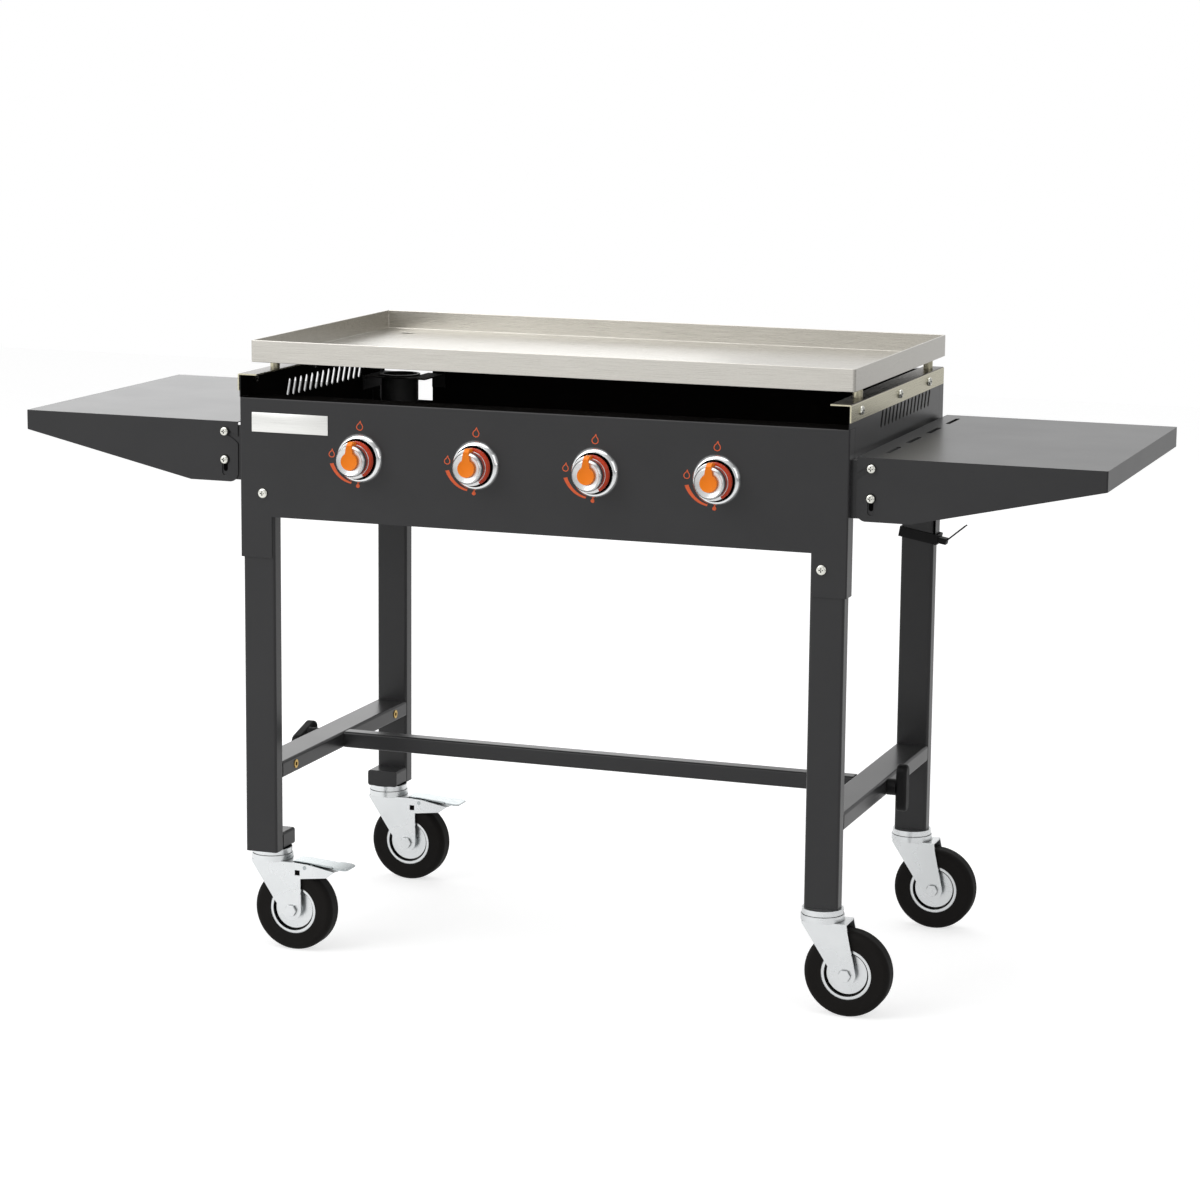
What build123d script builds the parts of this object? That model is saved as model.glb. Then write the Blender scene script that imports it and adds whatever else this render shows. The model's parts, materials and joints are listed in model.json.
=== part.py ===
from build123d import *
import math
import os

# Free-standing gas griddle on folding-shelf frame. Millimetres, +X right, +Y back, +Z up, floor at z = 0.

# Fits
fit_gap = 0.3
pin_gap = 0.05
pick_gap = 0.01

# Griddle plate
plate_length = 914.0
plate_depth = 508.0
plate_front = -218.0
plate_top = 912.0
plate_rim = 32.0
plate_wall = 3.0
plate_floor = 4.0
plate_corner = 4.0
drain_side_inset = 63.0
drain_rear_inset = 68.0
drain_radius = 10.0
drain_wall = 1.5
drain_drop = 10.0
foot_side_inset = 12.0
foot_end_inset = 58.0
foot_radius = 7.0
foot_height = 13.5

# Fire box
sheet = 1.5
bend = 2.5
plate_inset = 3.0
body_depth = 523.0
body_front = -250.0
panel_below_rail = 34.5
rear_panel_below_rail = 4.5
panel_height = 174.0
tab_drop = 61.0
tab_width = 50.0
return_depth = 27.0
front_top_flange = 50.0
rear_top_flange = 15.0
bottom_flange = 14.0
side_height = 158.5
side_lap = 14.0
notch_inset = 5.0
notch_width = 83.0
notch_depth = 89.0

# Vents in the side panels
vent_count = 14
vent_pitch = 20.4
vent_length = 27.6
vent_width = 8.0
vent_slant = 23.0
vent_centre_y = 50.0
vent_drop = 36.0

# Rails that carry the plate
rail_sheet = 2.0
rail_drop = 25.0
rail_reach = 30.0
rail_front_lap = 2.0
rail_rear_inset = 10.0
rail_bolt_y = (-202.0, 6.0, 172.0)
rail_bolt_drop = 12.5

# Legs, cross bars and brace
leg_width = 50.0
leg_depth = 25.0
leg_wall = 1.5
leg_corner = 4.0
leg_bottom = 153.0
leg_overlap = 30.0
pivot_inset = 8.0
left_pivot_rise = 34.5
right_pivot_rise = 38.5
bar_top = 287.0
bar_height = 25.0
brace_width = 25.0
brace_plug = 16.0
stud_radius = 4.0
stud_reach = 12.0
stub_length = 40.0
rivet_nut_spacing = 379.0
rivet_nut_bore = 3.0
rivet_nut_barrel = 4.5
rivet_nut_flange = 6.5
rivet_nut_head = 1.0
rivet_nut_length = 13.0

# Clamp knobs on the outside of the cross bars
grip_height = 70.0
grip_width = 22.0
grip_thickness = 16.0
right_grip_turn = 90.0
left_grip_turn = 15.0
grip_boss_radius = 12.0
grip_boss_length = 14.0

# Bolts
bolt_radius = 3.0
bolt_head_radius = 6.5
bolt_head_height = 4.0
nut_radius = 5.5
nut_height = 5.0
pivot_bolt_radius = 4.0
pivot_head_radius = 7.5
dome = 3.2
drive_width = 1.6
drive_length = 6.4
drive_depth = 2.0

# Fold-down side shelves
shelf_reach = 816.0
shelf_gap = 8.0
shelf_below_panel = 38.0
shelf_front = -240.0
shelf_depth = 505.0
shelf_sheet = 1.5
shelf_end_drop = 29.0
shelf_deep_drop = 89.0
shelf_deep_length = 77.0
shelf_corner = 14.0
shelf_bolt_out = 29.0
shelf_upper_drop = 15.0
shelf_bolt_spacing = 41.5
shelf_lift = 19.0
bush_radius = 4.4
bush_flange_radius = 7.0
bush_flange = 1.0
slot_gap = 0.4
ear_sheet = 2.5
ear_reach = 43.0
ear_margin = 10.0
ear_foot = 22.0
tool_slot_count = 4
tool_slot_pitch = 114.0
tool_slot_length = 68.0
tool_slot_width = 7.0
tool_slot_out = 35.0
tool_slot_centre_y = 22.0

# Control knobs
knob_count = 4
knob_pitch = 180.0
knob_drop = 80.0
bezel_radius = 35.0
bezel_bore = 30.0
bezel_height = 8.0
knob_base_radius = 27.0
knob_base_height = 5.0
knob_base_gap = 5.0
knob_body_radius = 24.5
knob_face_radius = 23.5
knob_reach = 40.0
knob_hub_radius = 13.0
knob_pointer_width = 11.0
knob_relief = 2.0
knob_dish = 1.2
knob_travel = 4.0
stem_radius = 4.0
stem_flat = 2.6
stem_reach = 30.0
stem_hole = 6.5

# Gas train
manifold_y = -194.0
manifold_radius = 9.0
manifold_wall = 1.5
manifold_overrun = 30.0
valve_width = 24.0
valve_front = -230.0
valve_height = 26.0
valve_bore_depth = 12.0
nozzle_radius = 4.0
nozzle_length = 14.0
inlet_radius = 6.6
inlet_bore = 4.0
inlet_length = 24.0
inlet_hex = 11.0
inlet_hex_length = 8.0
venturi_radius = 11.0
venturi_wall = 1.0
venturi_start = -175.0
burner_radius = 22.0
burner_front = -70.0
burner_rear_inset = 68.0
burner_rail_inset = 123.0
burner_rail_width = 24.0
burner_rail_drop = 20.0
electrode_y = -30.0
electrode_radius = 3.0
electrode_length = 34.0
electrode_clip = 12.0

# Grease cup and its hanger
cup_side_inset = 51.0
cup_rear_inset = 46.0
cup_radius = 29.0
cup_lip_radius = 32.0
cup_lip = 2.0
cup_wall = 1.5
cup_height = 41.0
hanger_drop = 45.0
hanger_sheet = 2.0
hanger_width = 107.0
hanger_depth = 86.0
hanger_flange = 22.0

# Strap on the rear right leg
strap_rise = 6.0
strap_width = 15.0
strap_thickness = 2.0
strap_buckle = 15.0
strap_buckle_height = 9.0
strap_tail = 40.0
strap_tail_angle = 50.0
strap_tilt = 10.0

# Casters
race_radius = 29.5
race_plate = 8.0
race_boss_radius = 12.0
dish_radius = 31.0
dish_wall = 2.5
king_pin_radius = 5.0
king_pin_head = 9.0
king_pin_head_height = 3.5
stem_screw_radius = 6.0
stem_screw_length = 18.0
caster_offset = 14.5
fork_sheet = 2.5
fork_gap = 2.0
fork_crown_z = 133.5
fork_front = -25.0
fork_back = 40.0
fork_eye = 15.0
trail = 40.0
wheel_radius = 62.5
tyre_width = 34.0
tyre_inner_radius = 37.0
tyre_shoulder = 9.0
rim_width = 30.0
rim_lip_radius = 32.5
rim_web = 6.0
rim_disc_radius = 29.5
rim_disc = 20.0
hub_radius = 11.0
hub_length = 34.0
axle_radius = 5.0
axle_head_radius = 9.0
axle_head = 5.0

# Brake arms and pedals on the left casters
arm_shoulder_x = 66.0
arm_shoulder_drop = 1.5
arm_reach = 110.0
arm_tip_top = 127.0
arm_tip_bottom = 117.0
arm_tip_cut = 13.0
arm_bottom = 112.0
arm_window = 8.0
arm_window_x = 50.0
arm_window_z = 121.0
pedal_pivot_x = 62.0
pedal_pivot_z = 129.5
pedal_pin_radius = 3.0
pedal_sheet = 2.5
pedal_width = 30.0
pedal_tail = 6.0
pedal_reach = 66.0
pedal_slope = 4.5
pedal_lift = 5.0
pedal_ear = 6.0
tread_length = 26.0
tread_width = 38.0
tread_corner = 8.0

# Derived places
body_width = plate_length + 2 * plate_inset
half_body = body_width / 2
body_rear = body_front + body_depth
body_mid_y = body_front + body_depth / 2
plate_rear = plate_front + plate_depth
plate_bottom = plate_top - plate_rim
rail_top = plate_bottom - foot_height
rail_bolt_z = rail_top - rail_bolt_drop
rail_front = body_front - rail_front_lap
rail_rear = body_rear - rail_rear_inset
panel_top = rail_top - panel_below_rail
panel_bottom = panel_top - panel_height
tab_bottom = panel_bottom - tab_drop
rear_panel_top = rail_top - rear_panel_below_rail
notch_bottom = rear_panel_top - notch_depth
side_top = rail_top - rail_sheet
side_bottom = side_top - side_height
vent_centre_z = side_top - vent_drop
left_pivot_z = panel_bottom + left_pivot_rise
right_pivot_z = tab_bottom + right_pivot_rise
shelf_top = panel_top - shelf_below_panel
knob_z = panel_top - knob_drop
hanger_top = rear_panel_top - hanger_drop
strap_z = tab_bottom + strap_rise
foot_x = plate_length / 2 - foot_side_inset
drain_x = -plate_length / 2 + drain_side_inset
drain_y = plate_rear - drain_rear_inset
notch_left = -half_body + notch_inset
notch_right = notch_left + notch_width
cup_x = -half_body + cup_side_inset
cup_y = body_rear - cup_rear_inset
hanger_left = -half_body + 2 * sheet
hanger_right = hanger_left + hanger_width
hanger_front = body_rear - hanger_depth
burner_rear = body_rear - burner_rear_inset
burner_rail_y = body_rear - burner_rail_inset
leg_outer = half_body - 2 * sheet - fit_gap
leg_x = leg_outer - leg_width / 2
pivot_x = leg_x - pivot_inset
front_leg_y = body_front + sheet + fit_gap + leg_depth / 2
rear_leg_y = body_rear - sheet - fit_gap - leg_depth / 2
bar_mid_z = bar_top - bar_height / 2
bar_inner_x = leg_x - leg_width / 2
bar_outer_x = leg_x + leg_width / 2
shelf_rear = shelf_front + shelf_depth
shelf_inner = half_body + shelf_gap
shelf_bolt_x = half_body + shelf_bolt_out
upper_bolt_z = shelf_top - shelf_upper_drop
lower_bolt_z = upper_bolt_z - shelf_bolt_spacing
ear_front_y = shelf_front + shelf_sheet + fit_gap
ear_rear_y = shelf_rear - shelf_sheet - fit_gap
knob_xs = [(i - (knob_count - 1) / 2) * knob_pitch for i in range(knob_count)]
manifold_left = knob_xs[0] - manifold_overrun
knob_front = body_front - knob_reach
knob_back = body_front - knob_base_gap
stem_tip = body_front - stem_reach
axle_z = wheel_radius
inlet_x = half_body + inlet_length
fork_inner = tyre_width / 2 + fork_gap
fork_outer = fork_inner + fork_sheet
crown_top = fork_crown_z + fork_sheet
race_under = leg_bottom - race_plate


on_end = (Align.CENTER, Align.CENTER, Align.MIN)


def block(x0, x1, y0, y1, z0, z1):
    centre = Pos((x0 + x1) / 2, (y0 + y1) / 2, (z0 + z1) / 2)
    return centre * Box(abs(x1 - x0), abs(y1 - y0), abs(z1 - z0))


def rod_x(x0, x1, y, z, radius):
    return Pos(x0, y, z) * Rot(0, 90, 0) * Cylinder(radius, x1 - x0, align=on_end)


def rod_y(y0, y1, x, z, radius):
    return Pos(x, y0, z) * Rot(-90, 0, 0) * Cylinder(radius, y1 - y0, align=on_end)


def rod_z(z0, z1, x, y, radius):
    return Pos(x, y, z0) * Cylinder(radius, z1 - z0, align=on_end)


def hex_y(y0, y1, x, z, radius):
    plane = Plane(origin=(x, y1, z), x_dir=(1, 0, 0), z_dir=(0, -1, 0))
    return extrude(plane * RegularPolygon(radius, 6), amount=y1 - y0)


def outline(points):
    return make_face(Polyline(*points, close=True))


def along_x(sketch, x0, x1):
    plane = Plane(origin=(x0, 0, 0), x_dir=(0, 1, 0), z_dir=(1, 0, 0))
    return extrude(plane * sketch, amount=x1 - x0)


def along_y(sketch, y0, y1):
    plane = Plane(origin=(0, y1, 0), x_dir=(1, 0, 0), z_dir=(0, -1, 0))
    return extrude(plane * sketch, amount=y1 - y0)


def along_z(sketch, z0, z1):
    return extrude(Plane(origin=(0, 0, z0)) * sketch, amount=z1 - z0)


def turned_z(points):
    # a lathe profile of (radius, height) points about the Z axis
    plane = Plane(origin=(0, 0, 0), x_dir=(1, 0, 0), z_dir=(0, -1, 0))
    return revolve(plane * outline(points), axis=Axis.Z)


def turned_y(points, x, z):
    # a lathe profile of (radius, y) points about an axis along Y
    profile = Plane.XY * outline(points)
    return Pos(x, 0, z) * revolve(profile, axis=Axis.Y)


def mirrored(part):
    return mirror(part, about=Plane.YZ)


def at_corner(edge, x, y):
    centre = edge.center()
    return abs(centre.X - x) < pick_gap and abs(centre.Y - y) < pick_gap


def group(solids):
    return Compound(children=list(solids))


# Griddle plate
def griddle_plate():
    half = plate_length / 2
    tray = block(-half, half, plate_front, plate_rear, plate_bottom, plate_top)
    tray = fillet(tray.edges().filter_by(Axis.Z), plate_corner)
    inner = block(-half + plate_wall, half - plate_wall, plate_front + plate_wall, plate_rear - plate_wall,
                  plate_bottom + plate_floor, plate_top)
    tray -= fillet(inner.edges().filter_by(Axis.Z), plate_corner - plate_wall)
    spout = rod_z(plate_bottom - drain_drop, plate_bottom, drain_x, drain_y, drain_radius + drain_wall)
    bore = rod_z(plate_bottom - drain_drop, plate_bottom + plate_floor, drain_x, drain_y, drain_radius)
    return tray + spout - bore


def plate_feet():
    feet = []
    for x in (-foot_x, foot_x):
        for y in (plate_front + foot_end_inset, plate_rear - foot_end_inset):
            feet.append(rod_z(rail_top, plate_bottom, x, y, foot_radius))
    return group(feet)


# Fire box panels
def wall_outline(top):
    left = -half_body
    right = half_body
    return outline([
        (left, tab_bottom),
        (left + tab_width, tab_bottom),
        (left + tab_width, panel_bottom),
        (right - tab_width, panel_bottom),
        (right - tab_width, tab_bottom),
        (right, tab_bottom),
        (right, top),
        (left, top),
    ])


def end_wall(outer_y, inward, top, top_flange):
    # sheet with corner returns round the legs and inward flanges at its top and bottom edges
    inner_y = outer_y + inward * sheet
    wall = along_y(wall_outline(top), min(outer_y, inner_y), max(outer_y, inner_y))
    for side in (-1, 1):
        wall += block(side * half_body, side * (half_body - sheet), outer_y, outer_y + inward * return_depth,
                      tab_bottom, top)
    upper = half_body - 2 * sheet - fit_gap
    wall += block(-upper, upper, outer_y, outer_y + inward * top_flange, top - sheet, top)
    lower = bar_inner_x - fit_gap
    wall += block(-lower, lower, outer_y, outer_y + inward * bottom_flange,
                  panel_bottom, panel_bottom + sheet)
    corners = [e for e in wall.edges().filter_by(Axis.Z)
               if at_corner(e, half_body, outer_y) or at_corner(e, -half_body, outer_y)]
    return fillet(corners, bend)


def pivot_holes(y0, y1):
    left = rod_y(y0, y1, -pivot_x, left_pivot_z, pivot_bolt_radius + pin_gap)
    right = rod_y(y0, y1, pivot_x, right_pivot_z, pivot_bolt_radius + pin_gap)
    return left + right


def front_panel():
    wall = end_wall(body_front, 1, panel_top, front_top_flange)
    for x in knob_xs:
        wall -= rod_y(body_front, body_front + sheet, x, knob_z, stem_hole)
    return wall - pivot_holes(body_front, body_front + sheet)


def rear_panel():
    wall = end_wall(body_rear, -1, rear_panel_top, rear_top_flange)
    wall -= block(notch_left, notch_right, body_rear - rear_top_flange, body_rear, notch_bottom, rear_panel_top)
    return wall - pivot_holes(body_rear - sheet, body_rear)


def vents():
    slots = []
    slot = Rot(0, 0, 90 - vent_slant) * SlotOverall(vent_length, vent_width)
    for i in range(vent_count):
        y = vent_centre_y + (i - (vent_count - 1) / 2) * vent_pitch
        slots.append(Pos(y, vent_centre_z) * slot)
    return slots


def side_panel():
    front = body_front + return_depth + fit_gap
    rear = body_rear - return_depth - fit_gap
    shoulder = panel_top + fit_gap
    skin = outline([
        (body_front, shoulder),
        (body_front, side_top),
        (rear, side_top),
        (rear, side_bottom),
        (front, side_bottom),
        (front, shoulder),
    ])
    for slot in vents():
        skin -= slot
    panel = along_x(skin, half_body - sheet, half_body)
    inner = half_body - sheet
    lap_top = panel_top - sheet - fit_gap
    for seam in (front, rear):
        panel += block(inner - sheet, inner, seam - side_lap, seam + side_lap, side_bottom, lap_top)
    flange_front = front + side_lap
    flange_rear = rear - side_lap
    panel += block(inner - bottom_flange, inner, flange_front, flange_rear, side_bottom, side_bottom + sheet)
    for y in rail_bolt_y:
        panel -= rod_x(inner, half_body, y, rail_bolt_z, bolt_radius + pin_gap)
    return panel


def right_side_panel():
    inner = half_body - 2 * sheet
    return side_panel() - rod_x(inner, half_body, manifold_y, knob_z, manifold_radius + fit_gap)


def plate_rail():
    outer = half_body + rail_sheet
    section = outline([
        (half_body, rail_top - rail_drop),
        (outer, rail_top - rail_drop),
        (outer, rail_top),
        (outer - rail_reach, rail_top),
        (outer - rail_reach, side_top),
        (half_body, side_top),
    ])
    rail = along_y(section, rail_front, rail_rear)
    bend_edges = [e for e in rail.edges().filter_by(Axis.Y)
                  if abs(e.center().X - outer) < pick_gap and abs(e.center().Z - rail_top) < pick_gap]
    rail = fillet(bend_edges, bend)
    for y in rail_bolt_y:
        rail -= rod_x(half_body, outer, y, rail_bolt_z, bolt_radius + pin_gap)
    return rail


# Legs, cross bars and brace
def tube_section(width, depth):
    outer = RectangleRounded(width, depth, leg_corner)
    return outer - RectangleRounded(width - 2 * leg_wall, depth - 2 * leg_wall, leg_corner - leg_wall)


def leg(side, y, pivot_z, screw_hole):
    x = side * leg_x
    tube = along_z(Pos(x, y) * tube_section(leg_width, leg_depth), leg_bottom, pivot_z + leg_overlap)
    cap = Pos(x, y) * RectangleRounded(leg_width - leg_wall, leg_depth - leg_wall, leg_corner - leg_wall / 2)
    tube += along_z(cap, leg_bottom, leg_bottom + 2 * leg_wall)
    tube -= rod_y(y - leg_depth / 2, y + leg_depth / 2, side * pivot_x, pivot_z, pivot_bolt_radius + pin_gap)
    if screw_hole:
        tube -= rod_z(leg_bottom, leg_bottom + 2 * leg_wall, x, y, stem_screw_radius + pin_gap)
    return tube


def crossbar():
    section = Pos(leg_x, bar_mid_z) * tube_section(leg_width, bar_height)
    bar = along_y(section, front_leg_y + leg_depth / 2, rear_leg_y - leg_depth / 2)
    return bar - rod_x(bar_inner_x, bar_outer_x, body_mid_y, bar_mid_z, stud_radius + pin_gap)


def rivet_nut_places():
    return (body_mid_y - rivet_nut_spacing / 2, body_mid_y + rivet_nut_spacing / 2)


def left_crossbar():
    bar = mirrored(crossbar())
    for y in rivet_nut_places():
        bar -= rod_x(-bar_inner_x - leg_wall, -bar_inner_x, y, bar_mid_z, rivet_nut_barrel)
    return bar


def rivet_nuts():
    nuts = []
    face = -bar_inner_x
    for y in rivet_nut_places():
        nut = rod_x(face, face + rivet_nut_head, y, bar_mid_z, rivet_nut_flange)
        nut += rod_x(face - rivet_nut_length, face, y, bar_mid_z, rivet_nut_barrel)
        nuts.append(nut - rod_x(face - rivet_nut_length, face + rivet_nut_head, y, bar_mid_z, rivet_nut_bore))
    return group(nuts)


def brace_tube():
    section = Pos(body_mid_y, bar_mid_z) * tube_section(brace_width, bar_height)
    tube = along_x(section, -bar_inner_x, bar_inner_x)
    plug = RectangleRounded(brace_width - leg_wall, bar_height - leg_wall, leg_corner)
    plug = Pos(body_mid_y, bar_mid_z) * plug
    for x0 in (-bar_inner_x, bar_inner_x - brace_plug):
        tube += along_x(plug, x0, x0 + brace_plug)
        tube -= rod_x(x0, x0 + brace_plug, body_mid_y, bar_mid_z, stud_radius + pin_gap)
    return tube


def brace_knob(turn):
    # moulded bar grip on a boss, on a steel stud that passes through the cross bar into the brace
    seat = bar_outer_x + fit_gap
    grip_face = seat + grip_boss_length
    grip = along_x(Pos(body_mid_y, bar_mid_z) * Rot(0, 0, turn) * SlotOverall(grip_height, grip_width),
                   grip_face, grip_face + grip_thickness)
    grip = fillet(grip.edges().filter_by(Plane.YZ), leg_corner)
    grip += rod_x(seat, grip_face, body_mid_y, bar_mid_z, grip_boss_radius)
    bore = rod_x(seat, grip_face, body_mid_y, bar_mid_z, stud_radius)
    stud = rod_x(bar_inner_x - stud_reach, grip_face, body_mid_y, bar_mid_z, stud_radius)
    return [grip - bore, stud]


def caster_stubs():
    # short tubes on the inner sides of the left legs, closed at the free end, that take the caster screws
    middle = Pos(-leg_x, leg_bottom + bar_height / 2)
    section = middle * tube_section(leg_width, bar_height)
    cap = middle * RectangleRounded(leg_width - leg_wall, bar_height - leg_wall, leg_corner - leg_wall / 2)
    stubs = []
    for start, way in ((front_leg_y + leg_depth / 2, 1), (rear_leg_y - leg_depth / 2, -1)):
        end = start + way * stub_length
        cap_start = end - way * leg_wall
        stub = along_y(section, min(start, end), max(start, end))
        stub += along_y(cap, min(end, cap_start), max(end, cap_start))
        screw_y = start + way * caster_offset
        screw_hole = rod_z(leg_bottom, leg_bottom + leg_wall, -leg_x, screw_y, stem_screw_radius + pin_gap)
        stubs.append(stub - screw_hole)
    return group(stubs)


def strap():
    # flat nylon tie round the rear right leg and its corner tab, with a buckle and a free tail outside
    lean = math.radians(strap_tilt)
    span = half_body - bar_inner_x
    slack = (span / math.cos(lean) + strap_width * math.tan(lean) - span) / 2
    inner = bar_inner_x - slack - fit_gap
    outer = half_body + slack + fit_gap
    front = rear_leg_y - leg_depth / 2 - fit_gap
    back = body_rear + fit_gap
    band = block(inner - strap_thickness, outer + strap_thickness,
                 front - strap_thickness, back + strap_thickness, strap_z, strap_z + strap_width)
    band = fillet(band.edges().filter_by(Axis.Z), bend)
    band -= block(inner, outer, front, back, strap_z, strap_z + strap_width)
    mid_z = strap_z + strap_width / 2
    band += block(outer, outer + strap_buckle, front, front + strap_width, mid_z - strap_buckle_height / 2,
                  mid_z + strap_buckle_height / 2)
    tail = Box(strap_tail, strap_width, strap_thickness, align=(Align.MIN, Align.MIN, Align.CENTER))
    tail_root = Pos(outer + strap_buckle - strap_thickness, front, mid_z)
    band += tail_root * Rot(0, -strap_tail_angle, 0) * tail
    middle = Pos((inner + outer) / 2, 0, mid_z)
    return middle * Rot(0, strap_tilt, 0) * middle.inverse() * band


# Bolts, as a domed head with a cross recess and its shank
def cross_drive():
    return ((drive_length / 2, drive_width / 2), (drive_width / 2, drive_length / 2))


def bolt_out(x0, x1, y, z):
    # head outside x0, shank inwards to x1, along X
    crown = x0 + bolt_head_height
    shank = rod_x(x1, x0, y, z, bolt_radius)
    head = rod_x(x0, crown, y, z, bolt_head_radius)
    bolt = shank + fillet(head.edges().filter_by(GeomType.CIRCLE).sort_by(Axis.X)[-1], dome)
    for half_y, half_z in cross_drive():
        bolt -= block(crown - drive_depth, crown, y - half_y, y + half_y, z - half_z, z + half_z)
    return bolt


def bolt_along_y(y0, y1, x, z, radius, head_radius):
    # head at y0, shank towards y1
    crown = y0 - bolt_head_height if y1 > y0 else y0 + bolt_head_height
    shank = rod_y(min(y0, y1), max(y0, y1), x, z, radius)
    head = rod_y(min(y0, crown), max(y0, crown), x, z, head_radius)
    rings = head.edges().filter_by(GeomType.CIRCLE).sort_by(Axis.Y)
    bolt = shank + fillet(rings[0] if y1 > y0 else rings[-1], dome)
    floor = crown + drive_depth if y1 > y0 else crown - drive_depth
    for half_x, half_z in cross_drive():
        bolt -= block(x - half_x, x + half_x, crown, floor, z - half_z, z + half_z)
    return bolt


def rail_bolts():
    outer = half_body + rail_sheet
    inner = half_body - sheet - nut_height
    bolts = []
    for y in rail_bolt_y:
        bolt = bolt_out(outer, inner, y, rail_bolt_z)
        bolt += rod_x(inner, half_body - sheet, y, rail_bolt_z, nut_radius)
        bolts += [bolt, mirrored(bolt)]
    return group(bolts)


def shelf_bolts():
    bolts = []
    for outer, way in ((shelf_front, 1), (shelf_rear, -1)):
        head_seat = outer - way * (bush_flange + 2 * fit_gap)
        ear_back = outer + way * (shelf_sheet + fit_gap + ear_sheet)
        end = ear_back + way * nut_height
        for z in (upper_bolt_z, lower_bolt_z):
            bolt = bolt_along_y(head_seat, end, shelf_bolt_x, z, bolt_radius, bolt_head_radius)
            bolt += rod_y(min(ear_back, end), max(ear_back, end), shelf_bolt_x, z, nut_radius)
            bolts += [bolt, mirrored(bolt)]
    return group(bolts)


def pivot_bolts():
    bolts = []
    for outer, way in ((body_front, 1), (body_rear, -1)):
        back = outer + way * (sheet + fit_gap + leg_depth)
        end = back + way * nut_height
        for x, z in ((-pivot_x, left_pivot_z), (pivot_x, right_pivot_z)):
            bolt = bolt_along_y(outer, end, x, z, pivot_bolt_radius, pivot_head_radius)
            bolts.append(bolt + rod_y(min(back, end), max(back, end), x, z, pivot_head_radius))
    return group(bolts)


# Fold-down shelves, modelled on the right
def shelf_slot():
    # the way the upper bolt takes through the flange while the shelf lifts and folds
    def place(turn):
        lift = shelf_lift * turn / (math.pi / 2)
        x = shelf_bolt_x - shelf_bolt_spacing * math.sin(turn)
        z = lower_bolt_z + shelf_bolt_spacing * math.cos(turn) - lift
        return (x, z)
    leave = math.asin((shelf_bolt_out - shelf_gap + bolt_head_radius) / shelf_bolt_spacing)
    path = ThreePointArc(place(0), place(leave / 2), place(leave))
    return SlotArc(path, 2 * (bolt_radius + 2 * slot_gap))


def shelf_outline():
    low = shelf_top - shelf_deep_drop
    deep_end = shelf_inner + shelf_deep_length
    flange = outline([
        (shelf_inner, shelf_top),
        (shelf_inner, low),
        (deep_end, low),
        (shelf_reach, shelf_top - shelf_end_drop),
        (shelf_reach, shelf_top),
    ])
    corner = [v for v in flange.vertices() if abs(v.X - shelf_inner) < pick_gap and abs(v.Y - low) < pick_gap]
    return fillet(corner, shelf_corner)


def shelf():
    # folded tray: a top sheet with an outer lip and deep flanges at the front and back
    part = along_y(shelf_outline(), shelf_front, shelf_rear)
    corners = [e for e in part.edges().filter_by(Axis.Z)
               if at_corner(e, shelf_reach, shelf_front) or at_corner(e, shelf_reach, shelf_rear)]
    part = fillet(corners, bend)
    part -= block(shelf_inner, shelf_reach - shelf_sheet, shelf_front + shelf_sheet, shelf_rear - shelf_sheet,
                  shelf_top - shelf_deep_drop, shelf_top - shelf_sheet)
    slot_length = shelf_lift + 2 * (bush_radius + slot_gap)
    lower = Pos(shelf_bolt_x, lower_bolt_z - shelf_lift / 2) * Rot(0, 0, 90)
    slot = lower * SlotOverall(slot_length, 2 * (bush_radius + slot_gap))
    part -= along_y(slot, shelf_front, shelf_rear)
    return part - along_y(shelf_slot(), shelf_front, shelf_rear)


def right_shelf():
    part = shelf()
    x = half_body + tool_slot_out
    for i in range(tool_slot_count):
        y = tool_slot_centre_y + (i - (tool_slot_count - 1) / 2) * tool_slot_pitch
        slot = Pos(x, y) * Rot(0, 0, 90) * SlotOverall(tool_slot_length, tool_slot_width)
        part -= along_z(slot, shelf_top - shelf_sheet, shelf_top)
    return part


def shelf_bushes():
    # flanged sleeves on the lower bolts, which the flange slots ride on
    bushes = []
    for outer, way in ((shelf_front, 1), (shelf_rear, -1)):
        cheek = outer - way * fit_gap
        far = outer + way * shelf_sheet
        rim = cheek - way * bush_flange
        bush = rod_y(min(cheek, far), max(cheek, far), shelf_bolt_x, lower_bolt_z, bush_radius)
        bush += rod_y(min(rim, cheek), max(rim, cheek), shelf_bolt_x, lower_bolt_z, bush_flange_radius)
        bore = rod_y(min(rim, far), max(rim, far), shelf_bolt_x, lower_bolt_z, bolt_radius + pin_gap)
        bushes.append(bush - bore)
    return bushes


def shelf_ears():
    # angle brackets on the side panel that hold the shelf bolts
    ears = []
    top = upper_bolt_z + ear_margin
    low = lower_bolt_z - shelf_lift - ear_margin
    for y, way in ((ear_front_y, 1), (ear_rear_y, -1)):
        web = outline([
            (half_body, low),
            (half_body + ear_reach, low),
            (half_body + ear_reach, top),
            (half_body, top),
        ])
        back = y + way * ear_sheet
        ear = along_y(web, min(y, back), max(y, back))
        ear += block(half_body, half_body + ear_sheet, y, y + way * ear_foot, low, top)
        for z in (upper_bolt_z, lower_bolt_z):
            ear -= rod_y(min(y, back), max(y, back), shelf_bolt_x, z, bolt_radius + pin_gap)
        ears.append(ear)
    return ears


# Control knobs
def bezels():
    rings = []
    lip = bezel_radius - bezel_bore
    for x in knob_xs:
        ring = turned_y([
            (bezel_bore, body_front),
            (bezel_radius, body_front),
            (bezel_radius, body_front - bezel_height + lip / 2),
            (bezel_bore + lip / 2, body_front - bezel_height),
            (bezel_bore, body_front - bezel_height + lip / 2),
        ], x, knob_z)
        rings.append(ring)
    return group(rings)


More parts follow.
